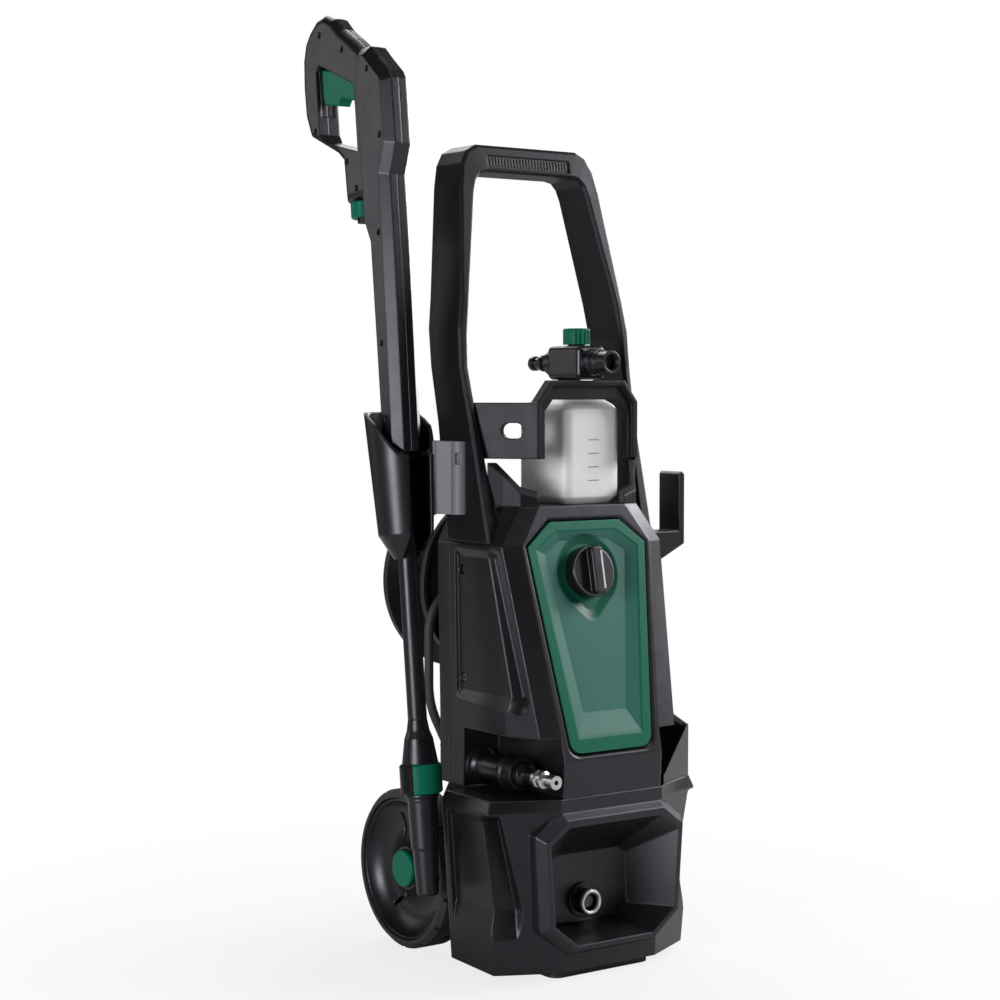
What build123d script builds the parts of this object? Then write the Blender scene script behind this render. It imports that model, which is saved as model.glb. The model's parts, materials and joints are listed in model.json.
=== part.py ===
from build123d import *
import os
from math import cos, radians, sin, tan

# Upright pressure washer on two wheels. Millimetres, +Z up, front towards -Y.
# The origin is on the floor, on the body's plane of symmetry, inside the foot pad's rest face.

# Fits
SEAT = 0.3             # gap between pieces that sit against each other
RUN = 0.05             # radial clearance of a shaft in its bore
WALL = 3.0             # moulded walls

# Foot pad and base
FOOT_T = 8.0
FOOT_HALF = 64.0
FOOT_FRONT = -108.0
FOOT_BACK = 14.0
BASE_TOP = 188.0
BASE_BEVEL = 12.0      # height of the bevel round the base's top edge
BASE_FRONT = -123.0
BASE_FRONT_HALF = 66.0
BASE_CORNER_HALF = 136.0
BASE_CORNER_Y = -92.0
BASE_TUCK = 12.0       # how far the base narrows towards the floor
BASE_BACK = -10.0      # where the base steps in to make room for the wheels
TAIL_HALF = 78.0       # half-width of the body between the wheels
SEAM_Y = 20.0          # joint between the front and rear mouldings

# Octagonal hollow round the water inlet
HOLLOW_Y = -80.0
HOLLOW_RIM = [(60, 160), (84, 143), (78, 60), (49, 37)]
HOLLOW_FLOOR = [(40, 120), (50, 113), (54, 58), (46, 48)]
FRAME_Y = -130.0       # front of the raised frame round the hollow
FRAME_FOOT = [(66, 177), (96, 153), (90, 54), (55, 26)]
FRAME_FACE = [(63, 167), (89, 147), (83, 57), (52, 32)]

# Upper body
NECK_TOP = 250.0
BAND_Z = 226.0         # crest of the convex band under the panel
SHOULDER_Z = 443.0
DECK_Z = 483.0
DECK_FRONT = -71.6
LEAN = 11.8            # front face leans back, degrees
REAR_SIDE_Y = 42.0
REAR_Y = 50.0
REAR_CHAMFER = 9.0
NECK_HALF = 58.0       # half-width between the two side alcoves
ALCOVE_BACK = -2.0
RECESS_D = 9.0         # depth of the sculpted recess in each side
BULGE_D = 3.5          # depth of its shallow rear part
NECK_WIDTHS = (64.0, 88.0, 103.0)
NECK_SETBACKS = (0.0, 3.4, 42.0)
SHOULDER_WIDTHS = (84.0, 104.0, 106.0)
SHOULDER_SETBACKS = (0.0, 8.0, 22.0)
DECK_WIDTHS = (56.0, 76.0, 86.0)
DECK_SETBACKS = (0.0, 5.6, 21.6)

# Control panel and knob, in the plane of the leaning front
PANEL_Z = 350.0        # height of the panel's middle
PANEL_H = 239.0
PANEL_TOP_HALF = 45.0
PANEL_HALF = 76.0
PANEL_DROP = 25.0      # top edge down to the widest point
PANEL_BOTTOM_HALF = 51.0
PANEL_T = 12.0
PANEL_R = 14.0
PANEL_GAP = 1.2        # shadow gap round the panel
BEZEL = 3.0            # bevel of the front moulding round that gap
DISH_D = 6.0
RIM_SIDE = 9.0         # flat rim of the panel, then the slope down to the dish's floor
RIM_TOP = 9.0
RIM_FOOT = 14.0
SLOPE_SIDE = 14.0
SLOPE_TOP = 10.0
SLOPE_FOOT = 27.0
KNOB_V = PANEL_H / 2 - 53.5   # knob's centre above the panel's middle
KNOB_R = 27.0
KNOB_H = 15.0
KNOB_WELL_R = 40.0
KNOB_WELL_D = 3.0
KNOB_WELL_TIP = 56.0
KNOB_WELL_FLOOR = 0.76   # well's floor as a share of its mouth
KNOB_SHAFT_R = 5.0
SWITCH_T = 34.0

# Handle
HANDLE_TOP = 862.0
HANDLE_FOOT = 446.0
HANDLE_OUTER = [(109, HANDLE_FOOT), (110, 571), (113, 628), (112, 668), (107, 700), (92, 818), (87, 841),
                (79, 855), (66, HANDLE_TOP)]
HANDLE_INNER = [(92, HANDLE_FOOT), (99, 571), (102, 628), (101, 660), (96, 697), (74, 812), (70, 824),
                (64, 831), (55, HANDLE_TOP - 29)]
HANDLE_FRONT = [(-56, HANDLE_FOOT), (-47, 490), (-13, 612), (-5, 697), (21, 832), (27, HANDLE_TOP)]
HANDLE_REAR = [(20, HANDLE_FOOT), (25, 490), (38, 571), (52, 664), (74, 832), (78, HANDLE_TOP)]
HANDLE_EDGE = 3.0
SKIRT_T = 7.0          # wall from each leg round the front corner of the deck
SKIRT_LEG = (98.0, -38.0)
SKIRT_TOP = 528.0
SKIRT_NOSE = 8.0
GRIP_HALF = 54.0
GRIP_LOW = 838.0
GRIP_HIGH = 851.0
GRIP_D = 4.0

# Wheels
WHEEL_R = 86.0
WHEEL_W = 40.0
WHEEL_FACE = 124.0     # outer face from the plane of symmetry
AXLE_Y = 89.0
AXLE_R = 6.0
TYRE_T = 9.0
HUB_R = 19.0
CAP_R = 20.0
CAP_SINK = 7.0         # the cap's seat, below the wheel's face
TROUGH_D = 20.0        # depth of the trough between rim and hub
TREAD_COUNT = 28
TREAD_D = 3.0

# Hose reel behind the body
REEL_Z = 393.0
REEL_R = 102.0
REEL_FRONT = 79.0
REEL_BACK = 154.0
FLANGE_T = 4.0
CORE_R = 46.0
SPINDLE_R = 10.0
CRANK_R = 78.0
CRANK_GRIP_L = 60.0
HOSE_R = 5.0           # short feed hose

# Gun and lance, on one leaning axis
GUN_X = -BASE_CORNER_HALF - 17.0
GUN_Y = 23.2
GUN_Z = 383.0
GUN_LEAN = 6.2
GUN_HALF = 13.0        # half-thickness of the two shells together
GUN_EDGE = 10.0
BARREL_HALF = 18.0     # half-thickness of the barrel
BARREL_EDGE = 9.0
VALVE_TOP = 540.0
GRIP_FOOT = 428.0      # underside of the grip, where the hose comes in
INLET_TOP = 478.0
LANCE_R = 10.0
LANCE_LOW = -122.0
LANCE_HIGH = 230.0
BARREL_LOW = 156.0
TRIGGER_HALF = 8.0
TRIGGER_PIN_R = 2.5
TRIGGER_PIVOT = (34.0, 562.0)
NOZZLE_CORE_R = 16.0
RING_R = 22.0
RING_LOW = -199.0
RING_HIGH = -168.0
INLET_R = 7.0          # gun's hose inlet
INLET_S = 45.0         # its distance behind the gun's axis
COLLAR_R = 13.5
COLLAR_L = 18.0
COLLAR_TRAVEL = 4.0

# Lance holder
HOLDER_TOP = 205.0
HOLDER_LOW = 45.0
HOLDER_TOP_R = 37.0
HOLDER_MID_R = 29.0
HOLDER_MID = 70.0
HOLDER_T = 4.0
HOLDER_SLOT = (-11.0, 17.0)
HOLDER_SCOOP = [(-60, 140), (-26, 152), (-6, 184), (14, 198), (60, 206)]

# Foam sprayer
BOTTLE_X = 25.0
BOTTLE_Y = -15.0
BOTTLE_W = 76.0
BOTTLE_D = 86.0
BOTTLE_H = 111.0
BOTTLE_WALL = 2.0
BOTTLE_EDGE = 12.0
BOTTLE_SHOULDER = 12.0
NECK_R = 14.0
FOAM_AXIS = 632.0
FOAM_R = 14.0
FOAM_HALF = 18.0       # half-width and half-height of the head's block
FOAM_FRONT = -66.0
FOAM_BACK = 14.0
FOAM_KNOB_Y = -28.0
FOAM_KNOB_R = 14.5
STEM_R = 6.0
STEM_L = 40.0
SPRAY_R = 12.0
SPRAY_L = 22.0

# Bottle bracket
ARCH_Y = -74.0
ARCH_D = 12.0
ARCH_TOP = 613.0
ARCH_LOW = 532.0
ARCH_BAND = 20.0       # height of the arch's band over the bottle
ARCH_LIP = 5.0         # its raised outer edge
PLATE_TOP = ARCH_TOP - 23.0

# Outlet and inlet
OUTLET_X = -82.0
OUTLET_Z = 209.0
OUTLET_R = 13.0
OUTLET_COLLAR_R = 19.0
OUTLET_COLLAR_Y = -63.0
OUTLET_TIP_Y = -136.0
PIPE_R = 5.0
WATER_X = -7.0
WATER_Z = 70.0
WATER_R = 13.2         # three-quarter inch hose thread
WATER_TIP_Y = -94.0
WATER_BORE = 9.5

# Motor and pump on one upright axis
MOTOR_Y = -24.0
MOTOR_R = 50.0
MOTOR_T = 4.0
MOTOR_LOW = 140.0
MOTOR_HIGH = 310.0
SHAFT_R = 6.0
BEARING_R = 16.0
BEARING_T = 10.0
ARMATURE_R = 28.0
PUMP_R = 44.0
PUMP_LOW = 82.0
CHAMBER_Z = 104.0
PISTON_PCR = 24.0
PISTON_R = 6.0
SWASH_Z = 130.0
SWASH_TILT = 8.0

# Cord hook
HOOK_OUT = 161.0
HOOK_T = 7.0
HOOK_Y0 = -45.0
HOOK_Y1 = -11.0
HOOK_TOP = 514.0
HOOK_ARM = 449.0
HOOK_LOW = 400.0

SCREW_R = 4.0
BIG = 600.0


def polygon(points):
    return make_face(Polyline(*points, close=True))


def along_x(points, x0, x1):
    """Prism from an outline of (y, z) points."""
    return extrude(Pos(x0, 0, 0) * (Plane.YZ * polygon(points)), amount=x1 - x0, dir=(1, 0, 0))


def along_y(points, y0, y1):
    """Prism from an outline of (x, z) points."""
    return extrude(Pos(0, y0, 0) * (Plane.XZ * polygon(points)), amount=y1 - y0, dir=(0, 1, 0))


def along_z(points, z0, z1):
    """Prism from an outline of (x, y) points."""
    return extrude(Pos(0, 0, z0) * polygon(points), amount=z1 - z0, dir=(0, 0, 1))


def block(x0, x1, y0, y1, z0, z1):
    return Pos((x0 + x1) / 2, (y0 + y1) / 2, (z0 + z1) / 2) * Box(x1 - x0, y1 - y0, z1 - z0)


def turned(profile):
    """Solid of revolution about Z from (radius, height) points."""
    return revolve(Plane.XZ * polygon(profile), Axis.Z)


def tube(r_out, r_in, z0, z1):
    return turned([(r_in, z0), (r_out, z0), (r_out, z1), (r_in, z1)])


def rod(r, z0, z1):
    return Pos(0, 0, (z0 + z1) / 2) * Cylinder(r, z1 - z0)


def both_sides(half):
    """Full plan outline from its right half, listed front to back."""
    return half + [(-x, y) for x, y in reversed(half)]


def plan(half, z):
    return Pos(0, 0, z) * polygon(both_sides(half))


def mirrored(shape):
    return mirror(shape, about=Plane.YZ)


def front_y(z):
    """The leaning front face at height z."""
    return DECK_FRONT - (DECK_Z - z) * tan(radians(LEAN))


def upper_half(widths, setbacks, z, side_in=0.0, front_in=0.0, rear_in=0.0):
    front = [(w - side_in, front_y(z) + s + front_in) for w, s in zip(widths, setbacks)]
    side = widths[2] - side_in
    return front + [(side, REAR_SIDE_Y - rear_in), (side - REAR_CHAMFER, REAR_Y - rear_in)]


def upper_body():
    """Outside of the upper body: neck between the alcoves, leaning trunk, shoulders."""
    trunk = loft([plan(upper_half(NECK_WIDTHS, NECK_SETBACKS, NECK_TOP), NECK_TOP),
                  plan(upper_half(SHOULDER_WIDTHS, SHOULDER_SETBACKS, SHOULDER_Z), SHOULDER_Z),
                  plan(upper_half(DECK_WIDTHS, DECK_SETBACKS, DECK_Z), DECK_Z)], ruled=True)

    def neck_half(front):
        side = NECK_WIDTHS[2]
        return [(NECK_WIDTHS[0], front), (NECK_HALF, front + 10), (NECK_HALF, ALCOVE_BACK),
                (side, ALCOVE_BACK), (side, REAR_SIDE_Y), (side - REAR_CHAMFER, REAR_Y)]

    neck = loft([plan(neck_half(BASE_FRONT), BASE_TOP), plan(neck_half(front_y(BAND_Z)), BAND_Z),
                 plan(neck_half(front_y(NECK_TOP)), NECK_TOP)], ruled=True)
    return trunk + neck


PANEL_BACK = PANEL_T + WALL   # inner face of the wall behind the panel, from the front face


def upper_cavity():
    side = RECESS_D + WALL
    front = PANEL_BACK / cos(radians(LEAN))
    low, high = NECK_TOP + WALL, DECK_Z - WALL
    trunk = loft([plan(upper_half(NECK_WIDTHS, NECK_SETBACKS, low, side, front, WALL), low),
                  plan(upper_half(SHOULDER_WIDTHS, SHOULDER_SETBACKS, SHOULDER_Z, side, front, WALL),
                       SHOULDER_Z),
                  plan(upper_half(DECK_WIDTHS, DECK_SETBACKS, high, side, front, WALL), high)], ruled=True)
    inner = NECK_HALF - WALL
    outer = NECK_WIDTHS[2] - WALL
    neck = along_z(both_sides([(inner - 10, front_y(BAND_Z) + front), (inner, front_y(BAND_Z) + front + 8),
                               (inner, ALCOVE_BACK + WALL), (outer, ALCOVE_BACK + WALL),
                               (outer, REAR_SIDE_Y - WALL), (outer - REAR_CHAMFER, REAR_Y - WALL)]),
                   BASE_TOP, NECK_TOP + WALL)
    return trunk + neck


def scooped(sections):
    """Cutter from plan outlines of (x, y) points at rising heights."""
    return loft([Pos(0, 0, z) * polygon(points) for z, points in sections], ruled=True)


def side_recess():
    """Cutter for the recess in the right side: a shallow bulge behind, a groove along the front corner."""
    side = SHOULDER_WIDTHS[2]
    out = side + 24
    rear, bulge, groove = 14, side - BULGE_D, side - RECESS_D
    return scooped([
        (272, [(out, rear), (side, rear - 4), (side - 2, -78), (98, -92), (94, -104), (106, -141)]),
        (290, [(out, rear), (bulge - 2.5, rear - 4), (bulge - 5.5, -80), (86, -86), (92.5, -104),
               (106, -141)]),
        (430, [(out, rear), (bulge, rear - 4), (bulge, -47), (groove, -51), (side - 2, -75),
               (side + 8, -111)]),
        (441, [(out, rear), (side + 1, rear - 4), (side + 1, -50), (side, -60), (side - 1, -75),
               (side + 8, -111)])])


PANEL_PLANE = Plane(origin=(0, front_y(PANEL_Z), PANEL_Z), x_dir=(1, 0, 0),
                    z_dir=(0, -cos(radians(LEAN)), sin(radians(LEAN))))


def panel_shape(side, top, foot):
    """The panel's outline, drawn in by a width at its sides, top and foot."""
    half = [(PANEL_TOP_HALF - side * 0.6, PANEL_H / 2 - top),
            (PANEL_HALF - side, PANEL_H / 2 - PANEL_DROP - side * 0.3),
            (PANEL_BOTTOM_HALF - side, -PANEL_H / 2 + foot)]
    return polygon(both_sides(half))


def panel_outline(grow=0.0):
    outline = panel_shape(-grow, -grow, -grow)
    return fillet(outline.vertices().sort_by(Axis.Y)[:2], PANEL_R)


def knob_well(share):
    """Teardrop round the knob."""
    r, tip = KNOB_WELL_R * share, KNOB_WELL_TIP * share
    lean = r / tip
    reach = r * (1 - lean ** 2) ** 0.5
    drop = Circle(r) + polygon([(0, -tip), (reach, -r * lean), (-reach, -r * lean)])
    return fillet(drop.vertices().sort_by(Axis.Y)[:1], r / 3)


def control_panel():
    rim = panel_shape(RIM_SIDE, RIM_TOP, RIM_FOOT)
    floor = panel_shape(RIM_SIDE + SLOPE_SIDE, RIM_TOP + SLOPE_TOP, RIM_FOOT + SLOPE_FOOT)
    solid = extrude(panel_outline(), amount=-PANEL_T)
    solid -= loft([Pos(0, 0, -DISH_D) * floor, rim], ruled=True)
    deep = -DISH_D - KNOB_WELL_D
    well = loft([Pos(0, KNOB_V, deep) * knob_well(KNOB_WELL_FLOOR), Pos(0, KNOB_V, -DISH_D) * knob_well(1)],
                ruled=True)
    well += extrude(Pos(0, KNOB_V, -DISH_D) * knob_well(1), amount=DISH_D)
    solid -= well & extrude(Pos(0, 0, -PANEL_T) * rim, amount=PANEL_T)
    solid -= Pos(0, KNOB_V, 0) * rod(KNOB_SHAFT_R + SEAT, -PANEL_T, 0)
    return PANEL_PLANE * solid


def switch_knob():
    low = -DISH_D - KNOB_WELL_D + SEAT
    body = rod(KNOB_R, low, low + KNOB_H)
    body = fillet(body.edges().group_by(Axis.Z)[-1], 2.5)
    bar = block(-7, 7, -KNOB_R + 2, KNOB_R - 2, low + KNOB_H - 1, low + KNOB_H + 9)
    bar = fillet(bar.edges().filter_by(Axis.Z), 4)
    bar = fillet(bar.edges().group_by(Axis.Z)[-1], 2)
    shaft = rod(KNOB_SHAFT_R, -PANEL_BACK - SWITCH_T / 2, low)
    return PANEL_PLANE * (Pos(0, KNOB_V, 0) * (body + bar + shaft))


def switch_box():
    low = -PANEL_BACK - SWITCH_T
    case = block(-22, 22, -26, 26, low, -PANEL_BACK)
    case = chamfer(case.edges().filter_by(Axis.Z), 3)
    terminals = block(-14, 14, -18, 18, low - 6, low)
    bore = rod(KNOB_SHAFT_R + RUN, -PANEL_BACK - SWITCH_T / 2 - SEAT, -PANEL_BACK)
    return PANEL_PLANE * (Pos(0, KNOB_V, 0) * (case + terminals - bore))


UPPER = upper_body()
CAVITY = upper_cavity()
FRONT_SPACE = block(-BIG, BIG, -BIG, SEAM_Y, 0, BIG)
REAR_SPACE = block(-BIG, BIG, SEAM_Y, BIG, 0, BIG)


def side_screw_places(side):
    """Seats of the two screws sunk in one side of the trunk."""
    deep = SHOULDER_WIDTHS[2] - RECESS_D
    return [Plane(origin=(side * deep, 2, z), x_dir=(0, 1, 0), z_dir=(side, 0, 0)) for z in (302, 416)]


def front_shell():
    shell = (UPPER - CAVITY) & FRONT_SPACE
    shell -= PANEL_PLANE * extrude(panel_outline(PANEL_GAP), amount=-PANEL_T)
    shell -= PANEL_PLANE * loft([Pos(0, 0, -BEZEL) * panel_outline(PANEL_GAP),
                                 panel_outline(PANEL_GAP + BEZEL)])
    shell -= PANEL_PLANE * (Pos(0, KNOB_V, 0) * rod(KNOB_SHAFT_R + 2, -PANEL_BACK, 0))
    right = side_recess()
    shell -= right
    shell -= mirrored(right)
    for side in (-1, 1):
        for place in side_screw_places(side):
            shell -= place * rod(SCREW_R + 1.5, 0, RECESS_D)
    pipe = Plane(origin=(OUTLET_X, 0, OUTLET_Z), x_dir=(1, 0, 0), z_dir=(0, 1, 0))
    return shell - pipe * rod(PIPE_R + SEAT, -60, SEAM_Y)


def tail_outline(inset):
    """Side outline of the lower rear moulding that carries the axle."""
    return [(SEAM_Y, FOOT_T + 4 + inset), (AXLE_Y - 20, FOOT_T + 4 + inset), (AXLE_Y + 19 - inset, 62),
            (AXLE_Y + 19 - inset, 112), (REAR_Y + 8 - inset, BASE_TOP - inset), (SEAM_Y, BASE_TOP - inset)]


AXLE_LINE = Plane(origin=(0, AXLE_Y, WHEEL_R), x_dir=(0, 1, 0), z_dir=(1, 0, 0))
BOSS_END = WHEEL_FACE - WHEEL_W - SEAT


def rear_shell():
    shell = (UPPER - CAVITY) & REAR_SPACE
    tail = along_x(tail_outline(0), -TAIL_HALF, TAIL_HALF)
    tail -= along_x(tail_outline(WALL), -TAIL_HALF + WALL, TAIL_HALF - WALL)
    tail -= block(-NECK_HALF + WALL, NECK_HALF - WALL, SEAM_Y, REAR_Y - WALL, BASE_TOP - WALL, BASE_TOP)
    shell += tail
    boss = rod(14, TAIL_HALF - WALL, BOSS_END) + rod(14, -BOSS_END, -TAIL_HALF + WALL)
    shell += AXLE_LINE * boss
    shell -= AXLE_LINE * rod(AXLE_R + RUN, -BOSS_END, BOSS_END)
    return shell


def base_half(tuck):
    return [(BASE_FRONT_HALF - tuck / 3, BASE_FRONT + tuck / 2),
            (BASE_CORNER_HALF - tuck, BASE_CORNER_Y + tuck / 2),
            (BASE_CORNER_HALF - tuck, BASE_BACK), (TAIL_HALF, BASE_BACK), (TAIL_HALF, SEAM_Y)]


def base_side_pocket():
    """Cutter for the hollow round the base's right front corner: a bulge behind, a groove, a ramp below."""
    side = BASE_CORNER_HALF
    out, rear, front = side + 64, -16, -140
    return scooped([
        (44, [(out, rear), (side - 8, rear - 2), (side - 8, -86), (side - 32, -99), (side - 37, -104),
              (side - 39, front)]),
        (75, [(out, rear), (side - 13, rear - 2), (side - 13, -85), (side - 36, -91), (side - 37, -103),
              (side - 39, front)]),
        (165, [(out, rear), (side - 6, rear - 2), (side - 6, -75), (side - 24, -77), (side - 14, -98),
               (side + 6, front)]),
        (174, [(out, rear), (side + 2, rear - 2), (side + 2, -80), (side - 8, -96), (side - 12, -99),
               (side + 6, front)])])


def base_wing():
    """Rising rim on the right, which closes the alcove there to a leaf-shaped window."""
    t = 5.0
    line = [(74, -116), (BASE_CORNER_HALF - 5, BASE_CORNER_Y + 3), (BASE_CORNER_HALF - 5, ALCOVE_BACK - 2)]
    inner = [(line[2][0] - t, line[2][1]), (line[1][0] - t, line[1][1] + 2), (line[0][0], line[0][1] + t + 1)]
    wall = along_z(line + inner, BASE_TOP - 6, 246)
    wall -= along_y([(60, 184), (BASE_CORNER_HALF - 6, 244), (BIG, 244), (BIG, 300), (60, 300)], -200, 50)
    roof = along_y([(BASE_CORNER_HALF - 5, 244), (NECK_WIDTHS[2] + SEAT, 262), (NECK_WIDTHS[2] + SEAT, 255),
                    (BASE_CORNER_HALF - 10, 240)], BASE_CORNER_Y + 6, ALCOVE_BACK - 2)
    return wall + (roof - Pos(SEAT, 0, 0) * UPPER)


def tapered(half, y, other_half, other_y):
    """Solid between two outlines of (x, z) points, each given by its right half."""
    return loft([Pos(0, y, 0) * (Plane.XZ * polygon(both_sides(half))),
                 Pos(0, other_y, 0) * (Plane.XZ * polygon(both_sides(other_half)))], ruled=True)


def base_shell():
    top = [(BASE_FRONT_HALF, BASE_FRONT)] + base_half(5)[1:]
    shell = loft([plan(base_half(BASE_TUCK), FOOT_T), plan(base_half(0), BASE_TOP - BASE_BEVEL),
                  plan(top, BASE_TOP)], ruled=True)
    shell -= along_x([(-90, FOOT_T), (SEAM_Y, FOOT_T), (SEAM_Y, FOOT_T + 4)], -BIG, BIG)
    right = base_side_pocket()
    shell -= right
    shell -= mirrored(right)
    shell += along_y(both_sides(FRAME_FOOT), BASE_CORNER_Y - 4, BASE_FRONT + 4)
    shell += tapered(FRAME_FOOT, BASE_FRONT + 4, FRAME_FACE, FRAME_Y)
    shell -= tapered(HOLLOW_FLOOR, HOLLOW_Y, HOLLOW_RIM, FRAME_Y)
    inside = HOLLOW_Y + WALL
    room = [(NECK_HALF - WALL, inside), (98, -66), (108, -58), (108, BASE_BACK - WALL),
            (TAIL_HALF - WALL, BASE_BACK - WALL), (TAIL_HALF - WALL, SEAM_Y)]
    shell -= along_z(both_sides(room), FOOT_T + 4 + WALL, BASE_TOP - WALL)
    shell -= along_z(both_sides([(NECK_HALF - WALL, inside), (NECK_HALF - WALL, SEAM_Y)]), BASE_TOP - WALL,
                     BASE_TOP)
    inlet = Plane(origin=(WATER_X, HOLLOW_Y, WATER_Z), x_dir=(1, 0, 0), z_dir=(0, 1, 0))
    shell -= inlet * rod(WATER_R - WALL, -1, WALL)
    return shell + base_wing()


def foot_pad():
    pad = block(-FOOT_HALF, FOOT_HALF, FOOT_FRONT, FOOT_BACK, 0, FOOT_T)
    pad = fillet(pad.edges().filter_by(Axis.Z), 12)
    pad -= along_x([(-90, FOOT_T), (SEAM_Y, FOOT_T), (SEAM_Y, FOOT_T + 4)], -BIG, BIG)
    return pad


def shoulder_block(grow=0.0):
    """The body's shoulders as a prism, to shape what stands on them."""
    a, b = SHOULDER_WIDTHS[2] + grow, DECK_WIDTHS[2] + grow
    return along_y([(-a, NECK_TOP), (a, NECK_TOP), (a, SHOULDER_Z), (b, DECK_Z + grow), (-b, DECK_Z + grow),
                    (-a, SHOULDER_Z)], -BIG, BIG)


def at_height(line, z):
    """y on a line of (y, z) points, listed upwards, at height z."""
    for (y0, z0), (y1, z1) in zip(line, line[1:]):
        if z <= z1:
            break
    return y0 + (y1 - y0) * (z - z0) / (z1 - z0)


def handle_section(outer, inner):
    """Mitred section of the hoop: a rectangle with its corners cut off."""
    e = HANDLE_EDGE
    across = (Vector(inner[0], 0, inner[1]) - Vector(outer[0], 0, outer[1])).normalized()
    back = Vector(0, 1, 0)
    ends = ((outer, HANDLE_FRONT), (inner, HANDLE_FRONT), (inner, HANDLE_REAR), (outer, HANDLE_REAR))
    corner = [Vector(p[0], at_height(line, p[1]), p[1]) for p, line in ends]
    points = [corner[0] + back * e, corner[0] + across * e, corner[1] - across * e, corner[1] + back * e,
              corner[2] - back * e, corner[2] - across * e, corner[3] + across * e, corner[3] - back * e]
    return polygon(points)


def handle():
    pairs = list(zip(HANDLE_OUTER, HANDLE_INNER))
    pairs += [((-a[0], a[1]), (-b[0], b[1])) for a, b in reversed(pairs)]
    hoop = loft([handle_section(outer, inner) for outer, inner in pairs], ruled=True)
    hoop += [deck_skirt(), mirrored(deck_skirt())]
    hoop -= shoulder_block()
    return hoop - grip_pocket(0)


def deck_skirt():
    """Low wall on the deck from the left leg to the front, its top sloping down forwards."""
    outer = [(-w, DECK_FRONT + back) for w, back in zip(DECK_WIDTHS, DECK_SETBACKS)]
    inner = [(x + 0.5 * SKIRT_T, y + 0.87 * SKIRT_T) for x, y in outer]
    x, y = SKIRT_LEG
    wall = along_z(outer + [(-x, y), (-x + SKIRT_T, y + SKIRT_T)] + inner[::-1], DECK_Z, SKIRT_TOP)
    return wall - along_x([(DECK_FRONT, DECK_Z + SKIRT_NOSE), (y, SKIRT_TOP), (y, BIG), (-BIG, BIG),
                           (-BIG, DECK_Z + SKIRT_NOSE)], -BIG, BIG)


def grip_pocket(play):
    slope = (HANDLE_FRONT[-1][0] - HANDLE_FRONT[-2][0]) / (HANDLE_FRONT[-1][1] - HANDLE_FRONT[-2][1])
    base = HANDLE_FRONT[-2][0] + (GRIP_LOW - HANDLE_FRONT[-2][1]) * slope
    top = HANDLE_FRONT[-2][0] + (GRIP_HIGH - HANDLE_FRONT[-2][1]) * slope
    lip = -10 if play == 0 else 1.5
    return along_x([(base + lip, GRIP_LOW + play), (base + GRIP_D - play, GRIP_LOW + play),
                    (top + GRIP_D - play, GRIP_HIGH - play), (top + lip, GRIP_HIGH - play)],
                   -GRIP_HALF + play, GRIP_HALF - play)


HANDLE = handle()


def bottle_bracket():
    back = ARCH_Y + ARCH_D
    outside = [(-60, ARCH_LOW), (-60, PLATE_TOP), (-42, ARCH_TOP), (54, ARCH_TOP), (71, ARCH_TOP - 22),
               (71, ARCH_LOW)]
    lip = [(-55, ARCH_LOW), (-55, PLATE_TOP), (-40, ARCH_TOP - ARCH_LIP), (52, ARCH_TOP - ARCH_LIP),
           (66, ARCH_TOP - 24), (66, ARCH_LOW)]
    inside = [(-48, ARCH_LOW), (-48, PLATE_TOP - 9), (-38, ARCH_TOP - ARCH_BAND), (50, ARCH_TOP - ARCH_BAND),
              (62, ARCH_TOP - 36), (62, ARCH_LOW)]
    arch = along_y(outside, ARCH_Y, back) - along_y(lip, ARCH_Y, ARCH_Y + 4) - along_y(inside, ARCH_Y, back)
    left = along_z([(-60, ARCH_Y), (-48, back), (-100, -6), (-105, -12)], ARCH_LOW, PLATE_TOP)
    right = along_z([(71, ARCH_Y), (62, back), (103, -8), (106, -12)], ARCH_LOW, ARCH_TOP - 22)
    hole = Plane(origin=(-72, -48, (ARCH_LOW + PLATE_TOP) / 2), x_dir=(0.67, -0.74, 0), z_dir=(0.74, 0.67, 0))
    left -= hole * extrude(SlotOverall(24, 16), amount=20, both=True)
    return arch + left + right - HANDLE


GUN = Plane(origin=(GUN_X, GUN_Y, GUN_Z), x_dir=(1, 0, 0),
            z_dir=(0, sin(radians(GUN_LEAN)), cos(radians(GUN_LEAN))))


def gun_slab(points, x0, x1):
    """Prism in the gun's frame from an outline of (behind the axis, along the axis) points."""
    return extrude(Pos(x0, 0, 0) * (Plane.YZ * polygon(points)), amount=x1 - x0, dir=(1, 0, 0))


BARREL = [(-20, BARREL_LOW), (-25, 377), (-25, 444), (-39, 474), (-39, 542), (-35, 550), (-16, 569),
          (-3, 583), (16, 584), (25, 572), (25, 400), (15, 376), (15, BARREL_LOW)]
GRIP = [(6, 570), (12, 584), (32, 600), (52, 615), (66, 630), (84, 639), (100, 638), (117, 628), (128, 617),
        (135, 599), (137.5, 569), (136.5, 537), (128, 513), (76, 485), (64, 474), (62, GRIP_FOOT),
        (15, GRIP_FOOT), (0, 470)]
GUN_WINDOW = [(29, 478), (98, 502), (105, 512), (105, 580), (98, 586), (29, 550)]
TRIGGER_SLOT = [(24, 520), (106, 532), (106, 602), (24, 566)]
GRIP_SCREWS = [(93, 618), (49, 592), (113, 517), (52, 472), (36, 440)]
BARREL_SCREWS = [(-6, 558), (-23, 485), (-10, 385), (-3, 270), (-3, 190)]
SCREW_SINK = 2.0       # how far the screws' heads lie below the surface


def holder_profile(grow):
    return [(LANCE_R + SEAT + HOLDER_T + grow, HOLDER_LOW), (HOLDER_MID_R + grow, HOLDER_MID),
            (HOLDER_TOP_R + grow, HOLDER_TOP)]


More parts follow.
